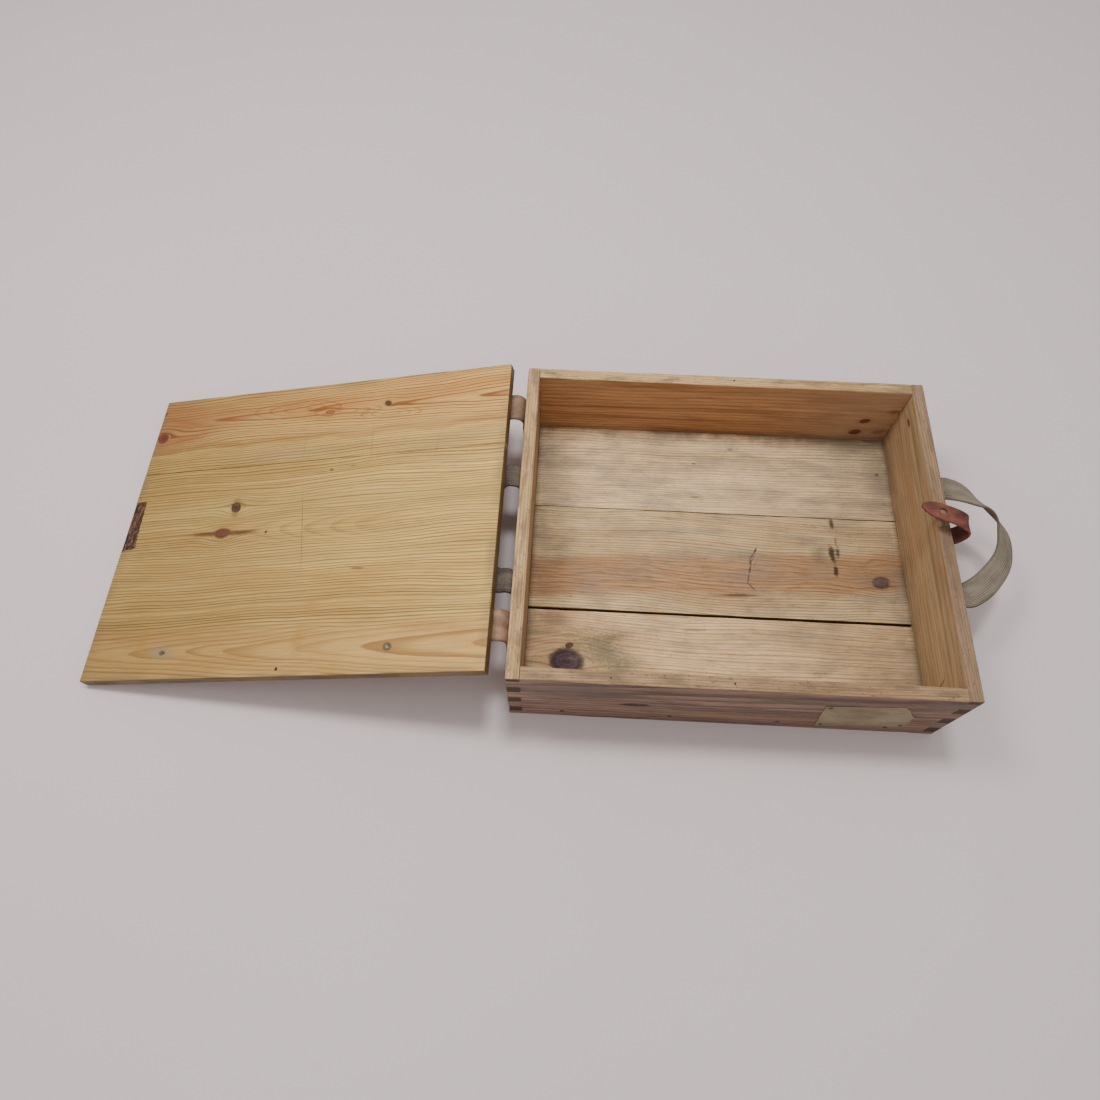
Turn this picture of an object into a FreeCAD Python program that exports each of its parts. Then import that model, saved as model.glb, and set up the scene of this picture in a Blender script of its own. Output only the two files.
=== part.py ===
"""Shallow finger-jointed wooden case with a leather-hinged lid, webbing handles and a leather closing tongue.

Frame: millimetres, +Z up. The origin is the middle of the case's underside, on the face of its middle
floor batten. +X points away from the lid hinge, -Y is the front. The lid is modelled open, with its free
edge resting on the surface that the case stands on.
"""

import FreeCAD, Part
import math
import os

from FreeCAD import Placement, Rotation, Vector

# --- driving dimensions, mm ---------------------------------------------------------------------------
CASE_LENGTH = 400.0
CASE_DEPTH = 330.0
CASE_HEIGHT = 105.0
WALL = 12.0
FINGER = 15.0
RIM_WEAR = 1.2

FLOOR_THICKNESS = 12.0
FLOOR_BATTEN = (40.0, 10.0)
FLOOR_BATTEN_PITCH = 140.0
FLOOR_SEAMS = (51.5, -64.5)
FLOOR_SEAM_GAPS = (0.6, 2.4)

LID_LENGTH = 404.0
LID_DEPTH = 328.0
LID_THICKNESS = 12.0
LID_SIDE_SHIFT = 5.0
LID_SEAM_Y = 72.0
LID_SEAM_GAP = 0.3
LID_WEAR = 1.0
LID_OVERHANG = 2.0
LID_SEAT_GAP = 0.3
LID_FLOOR_GAP = 0.1
HINGE_GAP = 17.5
LID_BATTEN = (40.0, 12.0, 312.0)
LID_BATTEN_INSET = 94.0
EDGE_RECESS = (56.0, 14.0, 1.0)
EDGE_RECESS_Y = 9.0

LEATHER = 3.0
HINGE_STRAP_WIDTH = 30.0
HINGE_STRAP_Y = {"back": 124.0, "front": -112.0}
HINGE_BEND = 8.0
HINGE_TAB_TOP = 78.0
HINGE_TAB_BOTTOM = 46.0
HINGE_LID_TAB = (6.0, 46.0)

WEBBING = 2.6
WEBBING_WIDTH = 25.0
HANDLE_PITCH = 114.0
HANDLE_SHIFT = {"left": -4.0, "right": 3.0}
HANDLE_TAB_BOTTOM = 32.0
HANDLE_TAB_TOP = 66.0
HANDLE_AXIS = (203.0, 76.0)
WEBBING_GAP = 0.1

TONGUE_WIDTH = 17.0
TONGUE_THICKNESS = 2.6
TONGUE_TAB = (58.0, 90.0)
TONGUE_Y = -4.5
TONGUE_AXIS = (203.5, 97.0)
TONGUE_HOLE_RADIUS = 3.3
STUD_RADIUS = 2.5
STUD_HEIGHT = 3.2
STUD_PLATE = (16.0, 1.0)
STUD_INSET = 13.0
STUD_Y = 7.0

LABEL = (81.0, 62.0, 0.5)
LABEL_CENTRE = (121.8, 47.5)
LABEL_TURN = -7.0
LABEL_TEAR = (12.0, 27.0)
TACK_INSET = 5.0

NAIL_SHANK = 1.0
NAIL_HEAD = 2.4
NAIL_HEAD_HEIGHT = 0.5

# --- worked-out values --------------------------------------------------------------------------------
HALF_X = CASE_LENGTH / 2
HALF_Y = CASE_DEPTH / 2
HANDLE_LEG_START = HALF_X + 8.5
FLOOR_TOP = FLOOR_BATTEN[1] + FLOOR_THICKNESS


def open_lid_tilt():
    """Angle at which the open lid's lower free edge just reaches the surface that the case stands on."""
    tilt = 0.0
    for _ in range(60):
        reach = CASE_HEIGHT - LID_FLOOR_GAP - LID_THICKNESS * math.cos(tilt)
        tilt = math.asin(reach / LID_LENGTH)
    return tilt


LID_TILT = open_lid_tilt()
LID_EDGE = Vector(-HALF_X - HINGE_GAP, 0, CASE_HEIGHT)
LID_OUTWARD = Vector(-math.cos(LID_TILT), 0, -math.sin(LID_TILT))
LID_NORMAL = Vector(-math.sin(LID_TILT), 0, math.cos(LID_TILT))
LID_CLOSING_ANGLE = math.pi + LID_TILT


def lid_hinge_axis():
    """The line about which the open lid turns onto the rim, as x and z."""
    closed = Vector(-HALF_X - LID_OVERHANG, 0, CASE_HEIGHT + LID_SEAT_GAP)
    middle = (LID_EDGE + closed) * 0.5
    chord = closed - LID_EDGE
    offset = 0.5 / math.tan(LID_CLOSING_ANGLE / 2)
    return middle.x + chord.z * offset, middle.z - chord.x * offset


# --- small makers -------------------------------------------------------------------------------------
def block(x0, x1, y0, y1, z0, z1):
    """A box between two corners."""
    return Part.makeBox(x1 - x0, y1 - y0, z1 - z0, Vector(x0, y0, z0))


def soften(shape, picks, radius):
    """Round the edges for which picks(edge) is true."""
    edges = [edge for edge in shape.Edges if picks(edge)]
    return shape.makeFillet(radius, edges)


def runs_along(edge, axis):
    """Whether a straight edge runs along an axis, 0 to 2."""
    if len(edge.Vertexes) != 2:
        return False
    step = edge.Vertexes[1].Point - edge.Vertexes[0].Point
    return abs(step[axis]) > 0.999 * step.Length


def place_on_lid(shape):
    """Take a shape from the lid's own axes to the open lid.

    The lid's axes are x from the hinge edge to the free edge, y as in the frame but reversed, and z up
    out of the lid's inner face.
    """
    turn = Rotation(Vector(0, 1, 0), -math.degrees(LID_TILT)) * Rotation(Vector(0, 0, 1), 180)
    placed = shape.copy()
    placed.Placement = Placement(LID_EDGE, turn).multiply(placed.Placement)
    return placed


def lid_block(s0, s1, y0, y1, t0, t1):
    """A box in the lid's own axes, with y given as in the frame."""
    return block(s0, s1, -y1, -y0, t0, t1)


def nail(tip, head, direction_out):
    """A round nail from its tip to the wood's face at head, with a low domed head standing out of it."""
    length = (head - tip).Length
    shank = Part.makeCylinder(NAIL_SHANK, length, tip, direction_out)
    cap = Part.makeCone(NAIL_HEAD, NAIL_HEAD * 0.6, NAIL_HEAD_HEIGHT, head, direction_out)
    return shank.fuse(cap)


def nails(heads, direction_out, length):
    """A row of separate nails that share a direction and a length."""
    return [nail(head - direction_out * length, head, direction_out) for head in heads]


def strip(outline, y_middle, width):
    """A flat strap: a closed outline in the XZ plane, given as edges, made width wide along Y."""
    face = Part.Face(Part.Wire(outline))
    solid = face.extrude(Vector(0, width, 0))
    solid.translate(Vector(0, y_middle - width / 2, 0))
    return solid


def ribbon(stations, thickness):
    """A strap through stations, each a middle point, a direction across the strap, and a width."""
    middles = [station[0] for station in stations]
    wires = []
    for i, (middle, across, width) in enumerate(stations):
        before = middles[max(i - 1, 0)]
        after = middles[min(i + 1, len(middles) - 1)]
        along = (after - before).normalize()
        side = (across - along * across.dot(along)).normalize()
        up = along.cross(side)
        half_side = side * (width / 2)
        half_up = up * (thickness / 2)
        corners = [
            middle - half_side - half_up,
            middle + half_side - half_up,
            middle + half_side + half_up,
            middle - half_side + half_up,
        ]
        wires.append(Part.makePolygon(corners + corners[:1]))
    return Part.makeLoft(wires, True, False)


def clear_of(shape, neighbour):
    """What is left of a shape outside its neighbour, without stray slivers."""
    left = shape.cut(neighbour)
    return max(left.Solids, key=lambda solid: solid.Volume)


# --- the case -----------------------------------------------------------------------------------------
def finger_bands():
    """Height bands of the corner joints, from the top down, and whether the end board owns each one."""
    bands = []
    top = CASE_HEIGHT
    end_owns = True
    while top > 0:
        height = FINGER / 2 if top == CASE_HEIGHT else FINGER
        bottom = max(top - height, 0.0)
        bands.append((bottom, top, end_owns))
        top = bottom
        end_owns = not end_owns
    return bands


def cut_fingers(board, for_end_board):
    """Cut the bands that the other boards own out of both ends of a board."""
    for bottom, top, end_owns in finger_bands():
        if end_owns == for_end_board:
            continue
        for side_x in (-1, 1):
            for side_y in (-1, 1):
                x0, x1 = sorted((side_x * HALF_X, side_x * (HALF_X - WALL)))
                y0, y1 = sorted((side_y * HALF_Y, side_y * (HALF_Y - WALL)))
                board = board.cut(block(x0, x1, y0, y1, bottom, top))
    return board


def wear_rim(board, axis):
    """Round the long top edges of a side board."""
    return soften(
        board,
        lambda edge: runs_along(edge, axis) and edge.CenterOfMass.z > CASE_HEIGHT - 0.01,
        RIM_WEAR,
    )


def end_board(side):
    """The left (-1) or right (+1) board, whose top fingers show on the rim's corners."""
    x0, x1 = sorted((side * HALF_X, side * (HALF_X - WALL)))
    board = wear_rim(block(x0, x1, -HALF_Y, HALF_Y, 0, CASE_HEIGHT), 1)
    return cut_fingers(board, True)


def long_board(side):
    """The front (-1) or back (+1) board."""
    y0, y1 = sorted((side * HALF_Y, side * (HALF_Y - WALL)))
    board = wear_rim(block(-HALF_X, HALF_X, y0, y1, 0, CASE_HEIGHT), 0)
    return cut_fingers(board, False)


def floor_boards():
    """Three boards side by side across the case's depth, with a tight seam and an open one."""
    inner_y = HALF_Y - WALL
    edges = [inner_y]
    for seam, gap in zip(FLOOR_SEAMS, FLOOR_SEAM_GAPS):
        edges += [seam + gap / 2, seam - gap / 2]
    edges.append(-inner_y)
    inner_x = HALF_X - WALL
    boards = {}
    for name, y1, y0 in zip(("back", "middle", "front"), edges[0::2], edges[1::2]):
        boards["floor_board_" + name] = block(-inner_x, inner_x, y0, y1, FLOOR_BATTEN[1], FLOOR_TOP)
    return boards


def floor_battens():
    """Battens under the floor, across its boards, flush with the side boards' lower edges."""
    width, height = FLOOR_BATTEN
    inner_y = HALF_Y - WALL
    battens = {}
    for name, place in (("left", -1), ("middle", 0), ("right", 1)):
        x = place * FLOOR_BATTEN_PITCH
        battens["floor_batten_" + name] = block(x - width / 2, x + width / 2, -inner_y, inner_y, 0, height)
    return battens


def floor_batten_nails():
    """Two nails through each batten into each floor board, driven from below."""
    head_z = NAIL_HEAD_HEIGHT
    rows = (125.0, 78.0, 25.0, -38.0, -90.0, -128.0)
    heads = []
    for place in (-1, 0, 1):
        for i, y in enumerate(rows):
            offset = 8.0 if i % 2 else -8.0
            heads.append(Vector(place * FLOOR_BATTEN_PITCH + offset, y, head_z))
    return Part.makeCompound(nails(heads, Vector(0, 0, -1), FLOOR_THICKNESS + 6.0))


def floor_side_nails():
    """Nails through the side boards into the edges of the floor boards."""
    z = FLOOR_BATTEN[1] + FLOOR_THICKNESS / 2
    length = 2.5 * WALL
    group = []
    for side in (-1, 1):
        across = [Vector(x, side * HALF_Y, z) for x in (-150.0, -50.0, 50.0, 150.0)]
        group += nails(across, Vector(0, side, 0), length)
        along = [Vector(side * HALF_X, y, z) for y in (-130.0, -88.0, -32.0, 28.0, 88.0, 130.0)]
        group += nails(along, Vector(side, 0, 0), length)
    return Part.makeCompound(group)


def rim_nails():
    """Small headless pins standing in the rim's upper face."""
    places = ((9.0, 159.5), (-7.0, -159.5), (-111.0, -159.5))
    pins = []
    for x, y in places:
        pins.append(Part.makeCylinder(NAIL_SHANK, 20.0, Vector(x, y, CASE_HEIGHT - 19.85), Vector(0, 0, 1)))
    return Part.makeCompound(pins)


def paper_label():
    """A thin label on the front board, nailed on askew, with its upper right corner torn off."""
    width, height, thickness = LABEL
    tear_along, tear_down = LABEL_TEAR
    half_w = width / 2
    half_h = height / 2
    outline = [
        Vector(-half_w, 0, half_h),
        Vector(half_w - tear_along, 0, half_h),
        Vector(half_w, 0, half_h - tear_down),
        Vector(half_w, 0, -half_h),
        Vector(-half_w, 0, -half_h),
    ]
    face = Part.Face(Part.makePolygon(outline + outline[:1]))
    label = face.extrude(Vector(0, -thickness, 0))
    label.rotate(Vector(0, 0, 0), Vector(0, 1, 0), LABEL_TURN)
    label.translate(Vector(LABEL_CENTRE[0], -HALF_Y, LABEL_CENTRE[1]))
    return label


def label_tacks():
    """A tack in each of the label's three whole corners."""
    width, height, thickness = LABEL
    turn = Rotation(Vector(0, 1, 0), LABEL_TURN)
    heads = []
    for side_x, side_z in ((-1, 1), (-1, -1), (1, -1)):
        corner = Vector(side_x * (width / 2 - TACK_INSET), 0, side_z * (height / 2 - TACK_INSET))
        corner = turn.multVec(corner)
        heads.append(corner + Vector(LABEL_CENTRE[0], -HALF_Y - thickness, LABEL_CENTRE[1]))
    return Part.makeCompound(nails(heads, Vector(0, -1, 0), 8.0))


# --- the lid ------------------------------------------------------------------------------------------
def lid_board(y0, y1):
    """One of the lid's two boards, with worn edges all round."""
    board = lid_block(0, LID_LENGTH, y0, y1, -LID_THICKNESS, 0)
    return soften(board, lambda edge: not runs_along(edge, 2), LID_WEAR)


def lid_boards():
    """The back and front boards; the front one has a shallow rough recess at its free edge."""
    back_y = LID_SIDE_SHIFT + LID_DEPTH / 2
    front_y = LID_SIDE_SHIFT - LID_DEPTH / 2
    back = lid_board(LID_SEAM_Y + LID_SEAM_GAP / 2, back_y)
    front = lid_board(front_y, LID_SEAM_Y - LID_SEAM_GAP / 2)
    length, inward, depth = EDGE_RECESS
    recess = lid_block(
        LID_LENGTH - inward,
        LID_LENGTH + 1,
        EDGE_RECESS_Y - length / 2,
        EDGE_RECESS_Y + length / 2,
        -depth,
        1,
    )
    front = front.cut(recess)
    return {"lid_board_back": place_on_lid(back), "lid_board_front": place_on_lid(front)}


def lid_battens():
    """Battens across the lid's outer face."""
    width, thickness, length = LID_BATTEN
    places = (("hinge_side", LID_BATTEN_INSET), ("free_side", LID_LENGTH - LID_BATTEN_INSET))
    battens = {}
    for name, s in places:
        batten = lid_block(
            s - width / 2,
            s + width / 2,
            LID_SIDE_SHIFT - length / 2,
            LID_SIDE_SHIFT + length / 2,
            -LID_THICKNESS - thickness,
            -LID_THICKNESS,
        )
        outer = -LID_THICKNESS - thickness
        batten = soften(batten, lambda edge: edge.CenterOfMass.z < outer + 0.01, 1.5)
        battens["lid_batten_" + name] = place_on_lid(batten)
    return battens


def lid_batten_nails():
    """Nails through each batten and the lid, driven from the outer face; the front ones come right through."""
    outer = -LID_THICKNESS - LID_BATTEN[1]
    through = LID_THICKNESS + LID_BATTEN[1] + 0.15
    group = []
    for s in (LID_BATTEN_INSET - 3.0, LID_LENGTH - LID_BATTEN_INSET + 9.0):
        hidden = [Vector(s, -y, outer) for y in (128.0, 40.0, -45.0)]
        group += nails(hidden, Vector(0, 0, -1), through - 2.0)
        group += nails([Vector(s, 133.0, outer)], Vector(0, 0, -1), through)
    return place_on_lid(Part.makeCompound(group))


def lid_stud():
    """The stud on the lid's outer face that the closing tongue buttons onto, with its round base."""
    s = LID_LENGTH - LID_OVERHANG - STUD_INSET
    base = Vector(s, -STUD_Y, -LID_THICKNESS)
    down = Vector(0, 0, -1)
    plate = Part.makeCylinder(STUD_PLATE[0] / 2, STUD_PLATE[1], base, down)
    pin = Part.makeCylinder(STUD_RADIUS, STUD_HEIGHT, base, down)
    return place_on_lid(soften(plate.fuse(pin).removeSplitter(), is_stud_tip, STUD_RADIUS * 0.6))


def is_stud_tip(edge):
    """Whether an edge is the round one at the stud's outer end."""
    return edge.CenterOfMass.z < -LID_THICKNESS - STUD_HEIGHT + 0.01


# --- the leather hinges -------------------------------------------------------------------------------
def on_lid(s, t):
    """A point of the XZ plane from the lid's own s and t."""
    return LID_EDGE + LID_OUTWARD * s + LID_NORMAL * t


def hinge_lid_tab(y):
    """The strap's end on the lid's outer face."""
    s0, s1 = HINGE_LID_TAB
    tab = lid_block(
        s0,
        s1,
        y - HINGE_STRAP_WIDTH / 2,
        y + HINGE_STRAP_WIDTH / 2,
        -LID_THICKNESS - LEATHER,
        -LID_THICKNESS,
    )
    tab = soften(tab, lambda edge: runs_along(edge, 2) and edge.CenterOfMass.x > s1 - 0.01, 6.0)
    return place_on_lid(tab)


def hinge_box_tab(y):
    """The strap's end on the outside of the left end board."""
    tab = block(
        -HALF_X - LEATHER,
        -HALF_X,
        y - HINGE_STRAP_WIDTH / 2,
        y + HINGE_STRAP_WIDTH / 2,
        HINGE_TAB_BOTTOM,
        HINGE_TAB_TOP,
    )
    return soften(
        tab,
        lambda edge: runs_along(edge, 0) and edge.CenterOfMass.z < HINGE_TAB_BOTTOM + 0.01,
        6.0,
    )


def hinge_flex(y):
    """The free leather between the two tabs: out from under the lid, across the gap and down."""
    x_out = -HALF_X - LEATHER
    x_in = -HALF_X
    radius_out = HINGE_BEND + LEATHER
    start_under = on_lid(HINGE_LID_TAB[0], -LID_THICKNESS - LEATHER)
    start_over = on_lid(HINGE_LID_TAB[0], -LID_THICKNESS)
    along = LID_OUTWARD * -1
    # The bend's centre lies radius_out below the strap's upper face and radius_out left of the board.
    centre_x = x_in - radius_out
    arc_over = Vector(centre_x, 0, 0) + LID_NORMAL * radius_out
    run = (arc_over.x - start_over.x) / along.x
    arc_over.z = start_over.z + along.z * run
    centre = arc_over - LID_NORMAL * radius_out
    arc_under = centre + LID_NORMAL * HINGE_BEND
    middle_angle = (math.pi / 2 + LID_TILT) / 2
    middle = Vector(math.cos(middle_angle), 0, math.sin(middle_angle))
    down_over = Vector(x_in, 0, centre.z)
    down_under = Vector(x_out, 0, centre.z)
    end_over = Vector(x_in, 0, HINGE_TAB_TOP)
    end_under = Vector(x_out, 0, HINGE_TAB_TOP)
    outline = [
        Part.makeLine(start_over, arc_over),
        Part.Arc(arc_over, centre + middle * radius_out, down_over).toShape(),
        Part.makeLine(down_over, end_over),
        Part.makeLine(end_over, end_under),
        Part.makeLine(end_under, down_under),
        Part.Arc(down_under, centre + middle * HINGE_BEND, arc_under).toShape(),
        Part.makeLine(arc_under, start_under),
        Part.makeLine(start_under, start_over),
    ]
    return strip(outline, y, HINGE_STRAP_WIDTH)


def hinge_box_nails():
    """Three nails through each strap into the end board."""
    heads = []
    for y in HINGE_STRAP_Y.values():
        for dy, z in ((-9.0, 70.0), (9.0, 70.0), (0.0, 55.0)):
            heads.append(Vector(-HALF_X - LEATHER, y + dy, z))
    return Part.makeCompound(nails(heads, Vector(-1, 0, 0), 12.0))


def hinge_lid_nails():
    """Three nails through each strap into the lid's outer face."""
    heads = []
    for y in HINGE_STRAP_Y.values():
        for dy, s in ((-9.0, 15.0), (9.0, 15.0), (0.0, 34.0)):
            heads.append(Vector(s, -(y + dy), -LID_THICKNESS - LEATHER))
    return place_on_lid(Part.makeCompound(nails(heads, Vector(0, 0, -1), 12.0)))


# --- the webbing handles ------------------------------------------------------------------------------
def handle_leg_y(name, leg):
    """How far back the middle of a handle's back (1) or front (-1) leg is."""
    return leg * HANDLE_PITCH / 2 + HANDLE_SHIFT[name]


def right_handle_route():
    """The right handle's loop: out along the back leg, through a twist, and in along the front leg."""
    back = handle_leg_y("right", 1)
    front = handle_leg_y("right", -1)
    return [
        (Vector(HANDLE_LEG_START, back, HANDLE_AXIS[1]), Vector(0, 1, 0)),
        (Vector(218, back - 0.5, 77.5), Vector(0, 1, 0)),
        (Vector(230, 56.5, 77), Vector(0.1, 1, -0.15)),
        (Vector(243, 50.5, 75), Vector(0.3, 0.8, -0.5)),
        (Vector(257, 44, 71), Vector(0.4, 0.4, -0.82)),
        (Vector(267, 33, 67), Vector(0.6, 0.0, -0.8)),
        (Vector(271.5, 20, 64.5), Vector(0.75, -0.1, -0.65)),
        (Vector(271, 5, 63), Vector(0.8, -0.18, -0.57)),
        (Vector(265, -11, 63.5), Vector(0.78, -0.36, -0.45)),
        (Vector(252.5, -27, 66), Vector(0.7, -0.62, -0.35)),
        (Vector(237, -42, 71), Vector(0.48, -0.86, -0.2)),
        (Vector(219, front, 76), Vector(0.1, -1, 0)),
        (Vector(HANDLE_LEG_START, front, HANDLE_AXIS[1]), Vector(0, -1, 0)),
    ]


def left_handle_route():
    """The left handle's loop, which droops below the open lid and doesn't twist."""
    back = handle_leg_y("left", 1)
    front = handle_leg_y("left", -1)
    middle = HANDLE_SHIFT["left"]
    return [
        (Vector(-HANDLE_LEG_START, back, HANDLE_AXIS[1]), Vector(0, 1, 0)),
        (Vector(-219, back - 1, 74), Vector(0, 1, 0)),
        (Vector(-236, middle + 42, 67), Vector(-0.45, 0.85, 0.1)),
        (Vector(-251, middle + 27, 58), Vector(-0.8, 0.55, 0.25)),
        (Vector(-258, middle, 53), Vector(-0.9, 0, 0.35)),
        (Vector(-251, middle - 27, 58), Vector(-0.8, -0.55, 0.25)),
        (Vector(-236, middle - 42, 67), Vector(-0.45, -0.85, 0.1)),
        (Vector(-219, front + 1, 74), Vector(0, -1, 0)),
        (Vector(-HANDLE_LEG_START, front, HANDLE_AXIS[1]), Vector(0, -1, 0)),
    ]


def quarter_bend(x_start, z_start, x_end, z_end, thickness, y, width):
    """A strap that rises flat against an end board at x_start and bends outward to level at x_end."""
    out = 1 if x_end > x_start else -1
    radius = abs(x_end - x_start)
    straight_top = z_end - radius
    half = thickness / 2
    diagonal = math.sqrt(0.5)

    def on_bend(offset):
        reach = radius + offset
        centre_x = x_start + out * radius
        return (
            Vector(centre_x - out * reach, 0, straight_top),
            Vector(centre_x - out * reach * diagonal, 0, straight_top + reach * diagonal),
            Vector(centre_x, 0, straight_top + reach),
        )

    outer = on_bend(half)
    inner = on_bend(-half)
    foot_outer = Vector(x_start - out * half, 0, z_start)
    foot_inner = Vector(x_start + out * half, 0, z_start)
    outline = [
        Part.makeLine(foot_outer, outer[0]),
        Part.Arc(*outer).toShape(),
        Part.makeLine(outer[2], inner[2]),
        Part.Arc(inner[2], inner[1], inner[0]).toShape(),
        Part.makeLine(inner[0], foot_inner),
        Part.makeLine(foot_inner, foot_outer),
    ]
    return strip(outline, y, width)


def handle_bends(name, side):
    """The bends that join a handle's legs to its tabs."""
    x_start = side * (HALF_X + WEBBING_GAP + WEBBING / 2)
    x_end = side * HANDLE_LEG_START
    z_end = HANDLE_AXIS[1]
    bends = []
    for leg in (-1, 1):
        y = handle_leg_y(name, leg)
        bends.append(quarter_bend(x_start, HANDLE_TAB_TOP, x_end, z_end, WEBBING, y, WEBBING_WIDTH))
    return Part.makeCompound(bends)


def handle_loop(route, bends):
    """A webbing loop through a route of middle points and directions across, up to the bends of its legs."""
    loop = ribbon([(point, across, WEBBING_WIDTH) for point, across in route], WEBBING)
    return clear_of(loop, bends)


def handle_tabs(name, side):
    """The two flat ends of a handle, one below each leg, against the end board."""
    x0, x1 = sorted((side * (HALF_X + WEBBING_GAP), side * (HALF_X + WEBBING_GAP + WEBBING)))
    half = WEBBING_WIDTH / 2
    tabs = []
    for leg in (-1, 1):
        y = handle_leg_y(name, leg)
        tabs.append(block(x0, x1, y - half, y + half, HANDLE_TAB_BOTTOM, HANDLE_TAB_TOP))
    return Part.makeCompound(tabs)


def handle_nails(name, side):
    """Three nails through each end of a handle."""
    heads = []
    for leg in (-1, 1):
        y = handle_leg_y(name, leg)
        for dy, z in ((-7.0, 58.0), (7.0, 58.0), (0.0, 42.0)):
            heads.append(Vector(side * (HALF_X + WEBBING_GAP + WEBBING), y + dy, z))
    return Part.makeCompound(nails(heads, Vector(side, 0, 0), 12.0))


# --- the closing tongue -------------------------------------------------------------------------------
def tongue_root():
    """Where the tongue's tab ends and where its free part starts, both on its middle line."""
    face = HALF_X + WEBBING_GAP + TONGUE_THICKNESS / 2
    return Vector(face, TONGUE_Y, TONGUE_TAB[1]), Vector(TONGUE_AXIS[0] + 2.5, TONGUE_Y, TONGUE_AXIS[1] + 3.0)


def tongue_route():
    """The free tongue's middle line: outward and up, and back in above the rim to its tip."""
    full = TONGUE_WIDTH
    across = Vector(0, 1, 0)
    skewed = Vector(math.sin(math.radians(20)), math.cos(math.radians(20)), 0)
    return [
        (tongue_root()[1], across, full),
        (Vector(209, TONGUE_Y + 0.2, 105), across, full),
        (Vector(210.7, TONGUE_Y + 0.5, 110), across, full),
        (Vector(209.8, -3, 115.5), across, full),
        (Vector(206, -1, 119.3), skewed, full),
        (Vector(199, 2, 121.2), skewed, full),
        (Vector(191, 5.5, 121), skewed, full),
        (Vector(184, 8.2, 120.8), skewed, full),
        (Vector(179, 10, 120.8), skewed, full * 0.94),
        (Vector(175, 11.5, 120.9), skewed, full * 0.74),
        (Vector(171.5, 12.8, 121), skewed, full * 0.46),
        (Vector(168.8, 13.8, 121), skewed, full * 0.2),
    ]


def tongue_flex():
    """The short stretch of leather that bends when the tongue swings."""
    start, end = tongue_root()
    across = Vector(0, 1, 0)
    route = [start, start + Vector(0.3, 0, 3.5), start + Vector(1.6, 0, 7.0), end]
    flex = ribbon([(point, across, TONGUE_WIDTH) for point in route], TONGUE_THICKNESS)
    return clear_of(flex, tongue_tab())


def closing_tongue():
    """The free part of the tongue, with the hole that buttons over the lid's stud."""
    tongue = ribbon(tongue_route(), TONGUE_THICKNESS)
    hole = Part.makeCylinder(
        TONGUE_HOLE_RADIUS,
        20.0,
        Vector(HALF_X - STUD_INSET, STUD_Y, CASE_HEIGHT + 5),
        Vector(0, 0, 1),
    )
    return clear_of(tongue.cut(hole), tongue_flex())


def tongue_tab():
    """The tongue's lower end, flat against the outside of the right end board."""
    bottom, top = TONGUE_TAB
    half = TONGUE_WIDTH / 2
    face = HALF_X + WEBBING_GAP
    tab = block(face, face + TONGUE_THICKNESS, TONGUE_Y - half, TONGUE_Y + half, bottom, top)
    return soften(tab, lambda edge: runs_along(edge, 0) and edge.CenterOfMass.z < bottom + 0.01, 4.0)


def tongue_nails():
    """Three nails through the tongue's lower end."""
    x = HALF_X + WEBBING_GAP + TONGUE_THICKNESS
    heads = [Vector(x, TONGUE_Y + dy, z) for dy, z in ((0.0, 65.0), (-4.5, 82.0), (4.5, 82.0))]
    return Part.makeCompound(nails(heads, Vector(1, 0, 0), 12.0))


# --- everything ---------------------------------------------------------------------------------------
def all_parts():
    """Every node's name and shape."""
    parts = {
        "left_end_board": end_board(-1),
        "right_end_board": end_board(1),
        "front_board": long_board(-1),
        "back_board": long_board(1),
        "floor_batten_nails": floor_batten_nails(),
        "floor_side_nails": floor_side_nails(),
        "rim_nails": rim_nails(),
        "paper_label": paper_label(),
        "label_tacks": label_tacks(),
        "lid_batten_nails": lid_batten_nails(),
        "lid_stud": lid_stud(),
        "hinge_box_nails": hinge_box_nails(),
        "hinge_lid_nails": hinge_lid_nails(),
        "left_handle": handle_loop(left_handle_route(), handle_bends("left", -1)),
        "right_handle": handle_loop(right_handle_route(), handle_bends("right", 1)),
        "closing_tongue": closing_tongue(),
        "tongue_flex": tongue_flex(),
        "tongue_tab": tongue_tab(),
        "tongue_nails": tongue_nails(),
    }
    parts.update(floor_boards())
    parts.update(floor_battens())
    parts.update(lid_boards())
    parts.update(lid_battens())
    for name, y in HINGE_STRAP_Y.items():
        parts["hinge_" + name + "_lid_tab"] = hinge_lid_tab(y)
        parts["hinge_" + name + "_flex"] = hinge_flex(y)
        parts["hinge_" + name + "_box_tab"] = hinge_box_tab(y)
    for name, side in (("left", -1), ("right", 1)):
        parts[name + "_handle_tabs"] = handle_tabs(name, side)
        parts[name + "_handle_bends"] = handle_bends(name, side)
        parts[name + "_handle_nails"] = handle_nails(name, side)
    return parts


def main():
    """Write one STEP file per node, and print the lid's tilt and hinge axis."""
    os.makedirs("parts", exist_ok=True)
    for name, shape in sorted(all_parts().items()):
        shape.exportStep("parts/" + name + ".step")
        box = shape.BoundBox
        print(
            f"{name:24s} solids {len(shape.Solids)} valid {shape.isValid()} volume {shape.Volume:10.1f}"
            f" x {box.XMin:.1f} {box.XMax:.1f} y {box.YMin:.1f} {box.YMax:.1f} z {box.ZMin:.1f} {box.ZMax:.1f}"
        )
    axis_x, axis_z = lid_hinge_axis()
    print(f"lid tilt {math.degrees(LID_TILT):.3f} degrees, hinge axis x {axis_x:.3f} z {axis_z:.3f}")


main()
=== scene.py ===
"""Looks for the leather-hinged wooden case: worn pine, leather, webbing, lights and camera.

Metres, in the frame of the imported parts: +Z up, the case's underside at z = 0, the open lid towards -X.
Places inside materials are written in millimetres.
"""

import math

import bmesh
import bpy
from mathutils import Matrix, Vector, noise


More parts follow.
